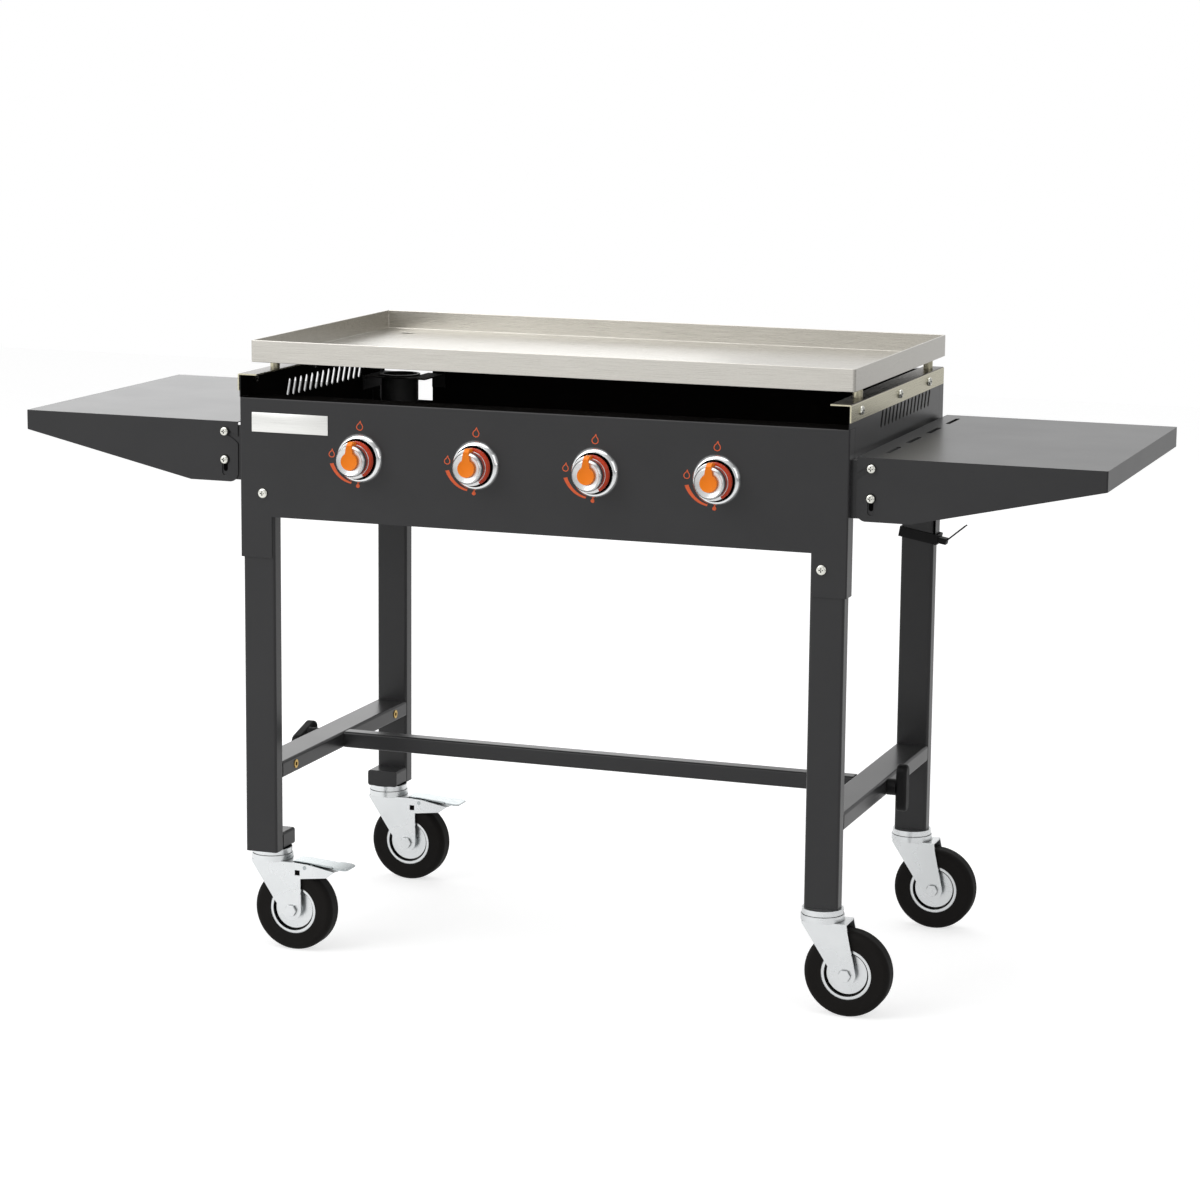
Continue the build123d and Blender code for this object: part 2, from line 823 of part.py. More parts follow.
def d_shaft(y0, y1, x, gap):
    shaft = rod_y(y0, y1, x, knob_z, stem_radius + gap)
    flat = knob_z - stem_flat - gap
    return shaft - block(x - stem_radius * 2, x + stem_radius * 2, y0, y1, flat - stem_radius * 2, flat)


def knob(x):
    # base collar, tapered skirt, dished face, round hub and a pointer to the upper edge
    body = turned_y([
        (0, knob_back),
        (knob_base_radius, knob_back),
        (knob_base_radius, knob_back - knob_base_height),
        (knob_body_radius, knob_back - knob_base_height),
        (knob_face_radius, knob_front + knob_relief),
        (knob_face_radius - knob_dish, knob_front + knob_dish),
        (knob_face_radius - 2 * knob_dish, knob_front + knob_relief),
        (0, knob_front + knob_relief),
    ], x, knob_z)
    hub = Circle(knob_hub_radius)
    hub += Pos(0, knob_face_radius / 2) * Rectangle(knob_pointer_width, knob_face_radius)
    hub &= Circle(knob_face_radius - knob_dish / 2)
    body += along_y(Pos(x, knob_z) * hub, knob_front, knob_front + 2 * knob_relief)
    bore_end = stem_tip - knob_travel - 2 * fit_gap
    return body - d_shaft(bore_end, knob_back, x, pin_gap)


def valve_stem(x):
    shoulder = body_front + sheet
    inner = rod_y(shoulder, valve_front + valve_bore_depth - fit_gap, x, knob_z, stem_radius)
    return d_shaft(stem_tip, shoulder, x, 0) + inner


# Gas train
def manifold():
    end = half_body - sheet - fit_gap
    pipe = rod_x(manifold_left, end, manifold_y, knob_z, manifold_radius)
    pipe -= rod_x(manifold_left + manifold_wall, end, manifold_y, knob_z, manifold_radius - manifold_wall)
    nipple_radius = manifold_radius - manifold_wall
    nipple = rod_x(end - inlet_hex_length, half_body + inlet_hex_length, manifold_y, knob_z, nipple_radius)
    nut_plane = Plane(origin=(half_body + fit_gap, manifold_y, knob_z), x_dir=(0, 1, 0), z_dir=(1, 0, 0))
    nipple += extrude(nut_plane * RegularPolygon(inlet_hex, 6), amount=inlet_hex_length)
    nipple += rod_x(half_body + inlet_hex_length, inlet_x, manifold_y, knob_z, inlet_radius)
    nipple -= rod_x(end - inlet_hex_length, inlet_x, manifold_y, knob_z, inlet_bore)
    return pipe + nipple


def valves():
    bodies = []
    pipe_front = manifold_y - manifold_radius
    pipe_back = manifold_y + manifold_radius
    for x in knob_xs:
        body = block(x - valve_width / 2, x + valve_width / 2, valve_front, pipe_front + manifold_radius,
                     knob_z - valve_height / 2, knob_z + valve_height / 2)
        body = fillet(body.edges().filter_by(Axis.Y), bend)
        body += block(x - valve_width / 2, x + valve_width / 2, pipe_front, pipe_back + manifold_wall,
                      knob_z - valve_height / 2, knob_z + valve_height / 2)
        body += rod_y(pipe_back, pipe_back + nozzle_length, x, knob_z, nozzle_radius)
        body -= rod_x(x - valve_width, x + valve_width, manifold_y, knob_z, manifold_radius)
        body -= rod_y(valve_front, valve_front + valve_bore_depth, x, knob_z, stem_radius + pin_gap)
        bodies.append(body)
    return group(bodies)


def burner(x):
    # venturi neck that opens into a wider burner tube with a closed end, on the axis of its valve
    neck_bore = venturi_radius - venturi_wall
    tube_bore = burner_radius - venturi_wall
    return turned_y([
        (neck_bore, venturi_start),
        (venturi_radius, venturi_start),
        (venturi_radius, burner_front),
        (burner_radius, burner_front + burner_radius),
        (burner_radius, burner_rear),
        (0, burner_rear),
        (0, burner_rear - venturi_wall),
        (tube_bore, burner_rear - venturi_wall),
        (tube_bore, burner_front + burner_radius),
        (neck_bore, burner_front),
    ], x, knob_z)


def burners():
    return group([burner(x) for x in knob_xs])


def burner_rail():
    top = knob_z - burner_radius - fit_gap
    inner = half_body - 2 * sheet - fit_gap
    rail = block(-inner, inner, burner_rail_y, burner_rail_y + burner_rail_width, top - sheet, top)
    rail += block(-inner, inner, burner_rail_y, burner_rail_y + sheet, top - burner_rail_drop, top)
    inner_skin = half_body - sheet
    for side in (-1, 1):
        rail += block(side * inner, side * inner_skin, burner_rail_y, burner_rail_y + burner_rail_width,
                      top - burner_rail_drop, top)
    return rail


def electrodes():
    pieces = []
    side = burner_radius
    for x in knob_xs:
        clip = block(x + side - venturi_wall, x + side + electrode_clip, electrode_y, electrode_y + sheet,
                     knob_z - electrode_clip / 2, knob_z + electrode_clip / 2)
        clip -= rod_y(electrode_y, electrode_y + sheet, x, knob_z, burner_radius)
        tip_x = x + side + electrode_clip / 2
        pieces.append(clip + rod_y(electrode_y - electrode_length / 2, electrode_y + electrode_length / 2,
                                   tip_x, knob_z, electrode_radius))
    return group(pieces)


# Grease cup
def grease_cup():
    seat = hanger_top + fit_gap
    low = hanger_top - cup_height
    cup = turned_z([
        (0, low),
        (cup_radius, low),
        (cup_radius, seat),
        (cup_lip_radius, seat),
        (cup_lip_radius, seat + cup_lip),
        (cup_radius - cup_wall, seat + cup_lip),
        (cup_radius - cup_wall, low + cup_wall),
        (0, low + cup_wall),
    ])
    return Pos(cup_x, cup_y, 0) * cup


def cup_hanger():
    back = body_rear - sheet
    plate = block(hanger_left, hanger_right, hanger_front, back, hanger_top - hanger_sheet, hanger_top)
    throat = cup_radius + 2 * fit_gap
    plate -= rod_z(hanger_top - hanger_sheet, hanger_top, cup_x, cup_y, throat)
    plate -= block(cup_x - throat, cup_x + throat, cup_y, back, hanger_top - hanger_sheet, hanger_top)
    low = hanger_top - hanger_flange
    plate += block(notch_right, hanger_right, back - hanger_sheet, back, low, hanger_top)
    inner_left = hanger_left + hanger_sheet
    return plate + block(hanger_left, inner_left, hanger_front, back - fit_gap, low, hanger_top)


# Casters, modelled about the swivel axis at x = 0, y = 0
def caster_race():
    head_top = fork_crown_z - fit_gap
    return turned_z([
        (0, head_top - king_pin_head_height),
        (king_pin_head, head_top - king_pin_head_height),
        (king_pin_head, head_top),
        (king_pin_radius, head_top),
        (king_pin_radius, crown_top + fit_gap),
        (race_boss_radius, crown_top + fit_gap),
        (race_boss_radius, race_under),
        (race_radius, race_under),
        (race_radius, leg_bottom),
        (stem_screw_radius, leg_bottom),
        (stem_screw_radius, leg_bottom + stem_screw_length),
        (0, leg_bottom + stem_screw_length),
    ])


def fork_cheek():
    eye = Pos(trail, axle_z) * Circle(fork_eye)
    crown = Rectangle(fork_back - fork_front, fork_sheet)
    crown = Pos((fork_front + fork_back) / 2, crown_top - fork_sheet / 2) * crown
    return make_hull(eye.edges() + crown.edges())


def fork():
    # pressed fork: ball race dish, crown and two tapered cheeks, with the axle riveted through them
    dish = turned_z([
        (race_boss_radius + 2 * fit_gap, crown_top),
        (dish_radius, crown_top),
        (dish_radius, race_under - 2 * fit_gap),
        (dish_radius - dish_wall, race_under - 2 * fit_gap),
        (dish_radius - dish_wall, crown_top + dish_wall),
        (race_boss_radius + 2 * fit_gap, crown_top + dish_wall),
    ])
    crown = block(fork_front, fork_back, -fork_outer, fork_outer, fork_crown_z, crown_top)
    body = dish + crown
    cheek = fork_cheek()
    body += along_y(cheek, -fork_outer, -fork_inner)
    body += along_y(cheek, fork_inner, fork_outer)
    body -= rod_z(fork_crown_z, crown_top, 0, 0, king_pin_radius + pin_gap)
    body -= rod_y(-fork_outer, fork_outer, trail, axle_z, axle_radius)
    axle = rod_y(-fork_outer, fork_outer, trail, axle_z, axle_radius)
    for side in (-1, 1):
        start = side * fork_outer
        end = side * (fork_outer + axle_head)
        axle += hex_y(min(start, end), max(start, end), trail, axle_z, axle_head_radius)
    return [body, axle]


def brake_arm():
    return outline([
        (trail - fork_eye, crown_top),
        (fork_back, crown_top),
        (arm_shoulder_x, crown_top - arm_shoulder_drop),
        (arm_reach, arm_tip_top),
        (arm_reach - arm_tip_cut, arm_tip_bottom),
        (trail + fork_eye, arm_bottom),
        (trail + fork_eye, axle_z),
        (trail, axle_z),
    ])


def braked_fork():
    # the plain fork with an arm on each cheek that carries the pedal's cross pin
    body, axle = fork()
    arm = brake_arm()
    body += along_y(arm, -fork_outer, -fork_inner)
    body += along_y(arm, fork_inner, fork_outer)
    half = arm_window / 2
    body -= block(arm_window_x - half, arm_window_x + half, -fork_outer, fork_outer,
                  arm_window_z - half, arm_window_z + half)
    body -= rod_y(-fork_outer, fork_outer, pedal_pivot_x, pedal_pivot_z, pedal_pin_radius + pin_gap)
    return [body, axle]


def brake_pedal():
    # sloping lever on a cross pin, with a wider tread at its tip
    length = pedal_reach + pedal_tail
    lever = Pos(length / 2 - pedal_tail, 0) * Rectangle(length, pedal_width)
    tread = RectangleRounded(tread_length, tread_width, tread_corner)
    lever += Pos(pedal_reach - tread_length / 2, 0) * tread
    plate = Pos(0, 0, pedal_lift) * extrude(lever, amount=pedal_sheet)
    part = Pos(pedal_pivot_x, 0, pedal_pivot_z) * Rot(0, pedal_slope, 0) * plate
    ear = Pos(pedal_pivot_x, pedal_pivot_z) * Circle(pedal_ear)
    ear += Pos(pedal_pivot_x, pedal_pivot_z + pedal_lift / 2) * Rectangle(2 * pedal_ear, pedal_lift)
    half = pedal_width / 2
    part += along_y(ear, -half, -half + pedal_sheet)
    part += along_y(ear, half - pedal_sheet, half)
    return part + rod_y(-fork_outer, fork_outer, pedal_pivot_x, pedal_pivot_z, pedal_pin_radius)


def tyre():
    mid_radius = (wheel_radius + tyre_inner_radius) / 2
    section = Pos(mid_radius, 0) * Rectangle(wheel_radius - tyre_inner_radius, tyre_width)
    tread = [v for v in section.vertices() if v.X > mid_radius]
    section = fillet(tread, tyre_shoulder)
    ring = revolve(Plane.XY * section, axis=Axis.Y)
    return Pos(trail, 0, axle_z) * ring


def rim():
    # pressed steel centre: bored hub, raised disc, groove and the lip that holds the tyre
    bore = axle_radius + pin_gap
    side = [
        (bore, hub_length / 2),
        (hub_radius, hub_length / 2),
        (hub_radius, rim_disc / 2),
        (rim_disc_radius, rim_disc / 2),
        (rim_disc_radius, rim_web / 2),
        (rim_lip_radius, rim_web / 2),
        (rim_lip_radius, rim_width / 2),
        (tyre_inner_radius, rim_width / 2),
    ]
    other = [(radius, -y) for radius, y in reversed(side)]
    return turned_y(side + other, trail, axle_z)


def save(name, shape):
    export_step(shape, "parts/" + name + ".step")


os.makedirs("parts", exist_ok=True)

save("griddle_plate", griddle_plate())
save("plate_feet", plate_feet())
save("front_panel", front_panel())
save("rear_panel", rear_panel())
save("left_side_panel", mirrored(side_panel()))
save("right_side_panel", right_side_panel())
save("left_plate_rail", mirrored(plate_rail()))
save("right_plate_rail", plate_rail())
save("rail_bolts", rail_bolts())

save("front_left_leg", leg(-1, front_leg_y, left_pivot_z, False))
save("rear_left_leg", leg(-1, rear_leg_y, left_pivot_z, False))
save("front_right_leg", leg(1, front_leg_y, right_pivot_z, True))
save("rear_right_leg", leg(1, rear_leg_y, right_pivot_z, True))
save("leg_pivot_bolts", pivot_bolts())
save("left_crossbar", left_crossbar())
save("right_crossbar", crossbar())
save("rivet_nuts", rivet_nuts())
save("brace_tube", brace_tube())
save("caster_stubs", caster_stubs())
save("leg_strap", strap())
save("right_brace_knob", group(brace_knob(right_grip_turn)))
save("left_brace_knob", group([mirrored(piece) for piece in brace_knob(left_grip_turn)]))

save("right_shelf", right_shelf())
save("left_shelf", mirrored(shelf()))
save("right_shelf_bushes", group(shelf_bushes()))
save("left_shelf_bushes", group([mirrored(piece) for piece in shelf_bushes()]))
save("shelf_brackets", group(shelf_ears() + [mirrored(ear) for ear in shelf_ears()]))
save("shelf_bolts", shelf_bolts())

save("knob_bezels", bezels())
for index, knob_x in enumerate(knob_xs):
    save("knob_%d" % (index + 1), knob(knob_x))
    save("valve_stem_%d" % (index + 1), valve_stem(knob_x))
save("gas_manifold", manifold())
save("gas_valves", valves())
save("burners", burners())
save("burner_rail", burner_rail())
save("electrodes", electrodes())

save("grease_cup", grease_cup())
save("cup_hanger", cup_hanger())

caster_places = {
    "front_left": (-leg_x, front_leg_y + leg_depth / 2 + caster_offset),
    "rear_left": (-leg_x, rear_leg_y - leg_depth / 2 - caster_offset),
    "front_right": (leg_x, front_leg_y),
    "rear_right": (leg_x, rear_leg_y),
}
save("caster_races", group([Pos(x, y, 0) * caster_race() for x, y in caster_places.values()]))
for corner_name, (caster_x, caster_y) in caster_places.items():
    place = Pos(caster_x, caster_y, 0)
    braked = corner_name.endswith("left")
    fork_pieces = braked_fork() if braked else fork()
    save(corner_name + "_fork", group([place * piece for piece in fork_pieces]))
    save(corner_name + "_tyre", place * tyre())
    save(corner_name + "_rim", place * rim())
    if braked:
        save(corner_name + "_brake_pedal", place * brake_pedal())
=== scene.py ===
import json
import math

import bpy
from mathutils import Matrix, Vector

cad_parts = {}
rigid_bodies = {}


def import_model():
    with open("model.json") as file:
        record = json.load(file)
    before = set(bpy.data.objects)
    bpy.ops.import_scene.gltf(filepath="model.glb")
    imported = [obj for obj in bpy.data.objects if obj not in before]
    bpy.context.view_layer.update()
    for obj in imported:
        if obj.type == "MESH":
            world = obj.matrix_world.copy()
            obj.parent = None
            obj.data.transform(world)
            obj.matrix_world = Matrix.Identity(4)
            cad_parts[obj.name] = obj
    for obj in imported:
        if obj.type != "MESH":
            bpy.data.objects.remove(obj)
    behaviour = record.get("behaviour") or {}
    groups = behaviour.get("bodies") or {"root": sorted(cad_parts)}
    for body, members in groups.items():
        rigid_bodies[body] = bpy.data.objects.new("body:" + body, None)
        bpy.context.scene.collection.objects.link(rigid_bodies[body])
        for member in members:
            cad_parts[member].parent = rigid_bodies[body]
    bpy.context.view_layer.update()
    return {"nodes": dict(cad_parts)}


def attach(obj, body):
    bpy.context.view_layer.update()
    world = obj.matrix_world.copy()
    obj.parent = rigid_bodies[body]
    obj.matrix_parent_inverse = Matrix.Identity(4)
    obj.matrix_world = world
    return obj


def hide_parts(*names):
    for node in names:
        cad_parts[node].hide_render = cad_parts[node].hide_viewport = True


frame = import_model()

nodes = frame["nodes"]
mm = 0.001
print("frame loaded:", len(nodes), "CAD nodes")


# Small helpers for modelling

def deselectAll():
    if bpy.context.object and bpy.context.object.mode != "OBJECT":
        bpy.ops.object.mode_set(mode="OBJECT")
    bpy.ops.object.select_all(action="DESELECT")


def pick(obj):
    deselectAll()
    obj.select_set(True)
    bpy.context.view_layer.objects.active = obj


def selectParts(obj, kind, test):
    # picks faces by a test on middle (in mm) and normal, or edges by a test on both ends
    # and stays in edit mode
    pick(obj)
    bpy.ops.object.mode_set(mode="EDIT")
    bpy.ops.mesh.select_mode(type="FACE" if kind == "faces" else "EDGE")
    bpy.ops.mesh.select_all(action="DESELECT")
    bpy.ops.object.mode_set(mode="OBJECT")
    verts = obj.data.vertices
    if kind == "faces":
        for face in obj.data.polygons:
            face.select = bool(test(face.center / mm, face.normal))
    else:
        for edge in obj.data.edges:
            ends = [verts[i].co / mm for i in edge.vertices]
            edge.select = bool(test(ends[0], ends[1]))
    bpy.ops.object.mode_set(mode="EDIT")


def tidyMesh(obj, gap=0.01):
    pick(obj)
    bpy.ops.object.mode_set(mode="EDIT")
    bpy.ops.mesh.select_all(action="SELECT")
    bpy.ops.mesh.remove_doubles(threshold=gap * mm)
    bpy.ops.mesh.normals_make_consistent(inside=False)
    bpy.ops.object.mode_set(mode="OBJECT")


def useModifier(obj, kind, **settings):
    pick(obj)
    mod = obj.modifiers.new(kind.title(), kind)
    for key, value in settings.items():
        setattr(mod, key, value)
    bpy.ops.object.modifier_apply(modifier=mod.name)


def finishPiece(obj, name, material, body, smoothAngle=35):
    pick(obj)
    bpy.ops.object.transform_apply(location=True, rotation=True, scale=True)
    bpy.ops.object.shade_smooth_by_angle(angle=math.radians(smoothAngle))
    obj.name = name
    obj.data.name = name
    obj.data.materials.clear()
    obj.data.materials.append(material)
    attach(obj, body)
    return obj


def copyPiece(obj, offset, name, body):
    twin = obj.copy()
    twin.data = obj.data.copy()
    twin.parent = None
    twin.name = name
    twin.data.name = name
    bpy.context.scene.collection.objects.link(twin)
    twin.matrix_world = Matrix.Translation(Vector(offset) * mm)
    pick(twin)
    bpy.ops.object.transform_apply(location=True, rotation=True, scale=True)
    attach(twin, body)
    return twin


def traceLine(points):
    # one point grown into a line with extrudes, as a profile or an outline
    deselectAll()
    bpy.ops.mesh.primitive_plane_add(size=mm, location=Vector(points[0]) * mm)
    obj = bpy.context.object
    bpy.ops.object.transform_apply(location=True, rotation=True, scale=True)
    bpy.ops.object.mode_set(mode="EDIT")
    bpy.ops.mesh.select_mode(type="VERT")
    bpy.ops.mesh.select_all(action="SELECT")
    bpy.ops.mesh.merge(type="CENTER")
    last = Vector(points[0])
    for point in points[1:]:
        step = (Vector(point) - last) * mm
        bpy.ops.mesh.extrude_region_move(TRANSFORM_OT_translate={"value": step})
        last = Vector(point)
    return obj


def latheY(profile, centre, steps):
    # profile of (radius, y) points in mm, spun about a line along Y
    cx, cz = centre
    obj = traceLine([(cx + radius, y, cz) for radius, y in profile])
    bpy.ops.mesh.select_all(action="SELECT")
    bpy.ops.mesh.spin(steps=steps, angle=2 * math.pi, center=(cx * mm, 0, cz * mm), axis=(0, 1, 0))
    bpy.ops.object.mode_set(mode="OBJECT")
    tidyMesh(obj)
    return obj


def flatPlate(points, y, thickness, line=0):
    # a closed outline in the X-Z plane, filled, or only as wide as its line
    # its thickness goes towards the front
    obj = traceLine([(x, y, z) for x, z in points])
    bpy.ops.mesh.select_all(action="SELECT")
    bpy.ops.mesh.edge_face_add()
    if line:
        bpy.ops.mesh.inset(thickness=line * mm)
        bpy.ops.mesh.delete(type="FACE")
        bpy.ops.mesh.select_all(action="SELECT")
    bpy.ops.mesh.extrude_region_move(TRANSFORM_OT_translate={"value": (0, -thickness * mm, 0)})
    bpy.ops.object.mode_set(mode="OBJECT")
    tidyMesh(obj)
    return obj


# Materials

def linearColour(code):
    channels = [int(code[i:i + 2], 16) / 255 for i in (1, 3, 5)]
    return [c / 12.92 if c <= 0.04045 else ((c + 0.055) / 1.055) ** 2.4 for c in channels] + [1.0]


def addNode(material, kind, links=None, **settings):
    # settings go on the node, links holds each input socket's value or the socket that feeds it
    node = material.node_tree.nodes.new(kind)
    for key, value in settings.items():
        setattr(node, key, value)
    for socket, value in (links or {}).items():
        if isinstance(value, bpy.types.NodeSocket):
            material.node_tree.links.new(value, node.inputs[socket])
        else:
            node.inputs[socket].default_value = value
    return node


def newMaterial(name, **values):
    material = bpy.data.materials.new(name)
    material.use_nodes = True
    shader = material.node_tree.nodes["Principled BSDF"]
    for socket, value in values.items():
        shader.inputs[socket.replace("_", " ")].default_value = value
    return material, shader


def feed(material, shader, **sources):
    for socket, source in sources.items():
        material.node_tree.links.new(source, shader.inputs[socket.replace("_", " ")])


def noise(material, place, size, detail):
    # a pattern from 0 to 1 with spots of a size in mm
    links = {"Vector": place, "Scale": 1 / (size * mm), "Detail": detail}
    return addNode(material, "ShaderNodeTexNoise", links).outputs["Fac"]


def remap(material, value, low, high, fromLow=0.3, fromHigh=0.7):
    node = addNode(material, "ShaderNodeMapRange", {"Value": value, "From Min": fromLow, "From Max": fromHigh,
                                                    "To Min": low, "To Max": high})
    return node.outputs["Result"]


def calculate(material, operation, first, second):
    return addNode(material, "ShaderNodeMath", {0: first, 1: second}, operation=operation).outputs["Value"]


def mixColours(material, share, first, second):
    node = addNode(material, "ShaderNodeMix", {0: share, 6: first, 7: second}, data_type="RGBA")
    return node.outputs[2]


def mixValues(material, share, first, second):
    return addNode(material, "ShaderNodeMix", {0: share, 2: first, 3: second}).outputs[0]


def twoTone(material, pattern, dark, light):
    # colours between two hex values by a 0 to 1 pattern
    ramp = addNode(material, "ShaderNodeValToRGB", {"Fac": pattern})
    ramp.color_ramp.elements[0].color = linearColour(dark)
    ramp.color_ramp.elements[1].color = linearColour(light)
    return ramp.outputs["Color"]


def grainNormal(material, height, strength, depth):
    links = {"Height": height, "Strength": strength, "Distance": depth * mm}
    return addNode(material, "ShaderNodeBump", links).outputs["Normal"]


def facesThatLook(material, way, limit):
    # 1 on the faces that look a given way, 0 on the others
    normal = addNode(material, "ShaderNodeNewGeometry").outputs["True Normal"]
    likeness = addNode(material, "ShaderNodeVectorMath", {0: normal, 1: way}, operation="DOT_PRODUCT")
    return calculate(material, "GREATER_THAN", likeness.outputs["Value"], limit)


def objectPlace(material):
    return addNode(material, "ShaderNodeTexCoord").outputs["Object"]


# the last five values paint the fire box side of the panels near black, a painted shade
powder = {"cloudSize": 90.0, "peelSize": 1.6, "peelStrength": 0.22, "peelDepth": 0.06, "shadeDark": "#060505",
          "shadeLight": "#0d0c0b", "shadeRough": 0.9, "shadeIndex": 1.05, "shadeLimit": 0.5}


def makePowderCoat(name, dark, light, roughLow, roughHigh, index, inward=None):
    # baked powder paint: satin, with a fine orange peel that breaks up the highlights
    # inward is the way that a panel's fire box side looks, which gets a near-black painted shade, and on the
    # front panel's top flange a painted dark reflection too
    material, shader = newMaterial(name, Metallic=0.0, IOR=index)
    place = objectPlace(material)
    cloud = noise(material, place, powder["cloudSize"], 3.0)
    peel = noise(material, place, powder["peelSize"], 2.0)
    colour = twoTone(material, cloud, dark, light)
    rough = remap(material, cloud, roughLow, roughHigh)
    if inward:
        # painted shade: faces on the fire box side are coloured near black
        shadedFaces = facesThatLook(material, inward, powder["shadeLimit"])
        shadeColour = twoTone(material, cloud, powder["shadeDark"], powder["shadeLight"])
        colour = mixColours(material, shadedFaces, colour, shadeColour)
        rough = mixValues(material, shadedFaces, rough, powder["shadeRough"])
        feed(material, shader, IOR=mixValues(material, shadedFaces, index, powder["shadeIndex"]))
    normal = grainNormal(material, peel, powder["peelStrength"], powder["peelDepth"])
    feed(material, shader, Base_Color=colour, Roughness=rough, Normal=normal)
    return material


# the last three values colour a brown painted shade on faces that look one way
brushed = {"scratchLength": 70.0, "cloudSize": 120.0, "cloudLow": 0.9, "cloudHigh": 1.1, "toneFrom": 0.25,
           "toneTo": 0.75, "strength": 0.12, "depth": 0.03, "brownShadeDark": "#2c261f", "brownShadeLight": "#4a4136",
           "brownShadeLimit": 0.7}


def makeBrushedMetal(name, dark, light, roughLow, roughHigh, grain, along, brownShadeWay=None):
    # rolled and brushed sheet: long fine scratches that stretch the reflections along the brushing
    # the last argument is the way that the faces look which get a brown painted shade
    material, shader = newMaterial(name, Metallic=1.0)
    place = objectPlace(material)
    fine, long = 1 / (grain * mm), 1 / (brushed["scratchLength"] * mm)
    stretch = [long if axis == along else fine for axis in "XYZ"]
    lines = addNode(material, "ShaderNodeMapping", {"Vector": place, "Scale": stretch}).outputs["Vector"]
    links = {"Vector": lines, "Scale": 1.0, "Detail": 4.0}
    scratch = addNode(material, "ShaderNodeTexNoise", links).outputs["Fac"]
    cloud = noise(material, place, brushed["cloudSize"], 2.0)
    soft = remap(material, cloud, brushed["cloudLow"], brushed["cloudHigh"], 0.0, 1.0)
    both = calculate(material, "MULTIPLY", scratch, soft)
    tone = remap(material, both, 0.0, 1.0, brushed["toneFrom"], brushed["toneTo"])
    colour = twoTone(material, tone, dark, light)
    if brownShadeWay:
        # painted shade: faces that look that way are coloured dark brown
        shadedFaces = facesThatLook(material, brownShadeWay, brushed["brownShadeLimit"])
        shadeBrown = twoTone(material, tone, brushed["brownShadeDark"], brushed["brownShadeLight"])
        colour = mixColours(material, shadedFaces, colour, shadeBrown)
    rough = remap(material, scratch, roughLow, roughHigh)
    normal = grainNormal(material, scratch, brushed["strength"], brushed["depth"])
    feed(material, shader, Base_Color=colour, Roughness=rough, Normal=normal)
    return material


# the grime values set the painted shade in recesses and seams
plating = {"gritSize": 1.2, "gritDepth": 0.02, "recessShadeDark": "#1b1a18", "recessShadeLight": "#2c2a27",
           "recessShadeFrom": 0.4, "recessShadeTo": 0.72, "recessShadeSamples": 8}


def makePlating(name, dark, light, roughLow, roughHigh, spot, grit=0.06, recessShadeReach=0):
    # electroplated steel: bright, with a faint cloudy bloom from the bath
    # the last argument is how far in mm the painted shade of a recess or a seam reaches
    material, shader = newMaterial(name, Metallic=1.0)
    place = objectPlace(material)
    bloom = noise(material, place, spot, 4.0)
    fine = noise(material, place, plating["gritSize"], 1.0)
    colour = twoTone(material, bloom, dark, light)
    # painted shade: darker where ambient occlusion finds a recess or a seam close by
    if recessShadeReach:
        occlusion = addNode(material, "ShaderNodeAmbientOcclusion", {"Distance": recessShadeReach * mm},
                       samples=plating["recessShadeSamples"])
        openShare = remap(material, occlusion.outputs["AO"], 0.0, 1.0, plating["recessShadeFrom"], plating["recessShadeTo"])
        recessShade = twoTone(material, bloom, plating["recessShadeDark"], plating["recessShadeLight"])
        colour = mixColours(material, openShare, recessShade, colour)
    rough = remap(material, bloom, roughLow, roughHigh)
    normal = grainNormal(material, fine, grit, plating["gritDepth"])
    feed(material, shader, Base_Color=colour, Roughness=rough, Normal=normal)
    return material


moulded = {"index": 1.48, "cloudSize": 25.0, "roughSpread": 0.05, "strength": 0.15}


def makeMoulded(name, dark, light, rough, grain, depth, gloss):
    # injection moulded or rubber: even colour, a fine spark-eroded or matt grain
    material, shader = newMaterial(name, Metallic=0.0, IOR=moulded["index"], Specular_IOR_Level=gloss)
    place = objectPlace(material)
    pores = noise(material, place, grain, 2.0)
    cloud = noise(material, place, moulded["cloudSize"], 3.0)
    colour = twoTone(material, cloud, dark, light)
    dull = remap(material, cloud, rough - moulded["roughSpread"], rough + moulded["roughSpread"])
    normal = grainNormal(material, pores, moulded["strength"], depth)
    feed(material, shader, Base_Color=colour, Roughness=dull, Normal=normal)
    return material


coat = ("#2d2d2e", "#343435", 0.28, 0.3, 1.37)
# each panel's fire box side, looking this way, is coloured with painted shade
panelFacing = {"front_panel": (0, 0.75, 0.66), "rear_panel": (0, -1, 0),
               "left_side_panel": (1, 0, 0), "right_side_panel": (-1, 0, 0)}
powderCoat = makePowderCoat("charcoalPowderCoat", *coat)
panelCoat = {name: makePowderCoat("burntInside_" + name, *coat, inward)
             for name, inward in panelFacing.items()}
# near-black painted shade for the burner rail and the cup hanger
fireBoxShadeBlack = makePowderCoat("sootBlackSteel", "#080707", "#0f0e0d", 0.85, 0.95, 1.3)
# the grease cup's black enamel, darkened further as painted shade
cupEnamelAndShade = makePowderCoat("blackCupEnamel", "#0a0a0a", "#101010", 0.5, 0.6, 1.4)
stainless = makeBrushedMetal("brushedStainless", "#bcb9b2", "#d3d0c9", 0.24, 0.32, 0.5, "X")
# the rails' upward faces, in the shade under the plate, get a brown painted shade
railSteel = makeBrushedMetal("rolledRailSteel", "#bcb69e", "#d9d4ba", 0.24, 0.32, 0.5, "Y", (0, 0, 1))
burnerSteel = makeBrushedMetal("scaledBurnerSteel", "#2b2522", "#4a423b", 0.5, 0.65, 3.0, "Y")
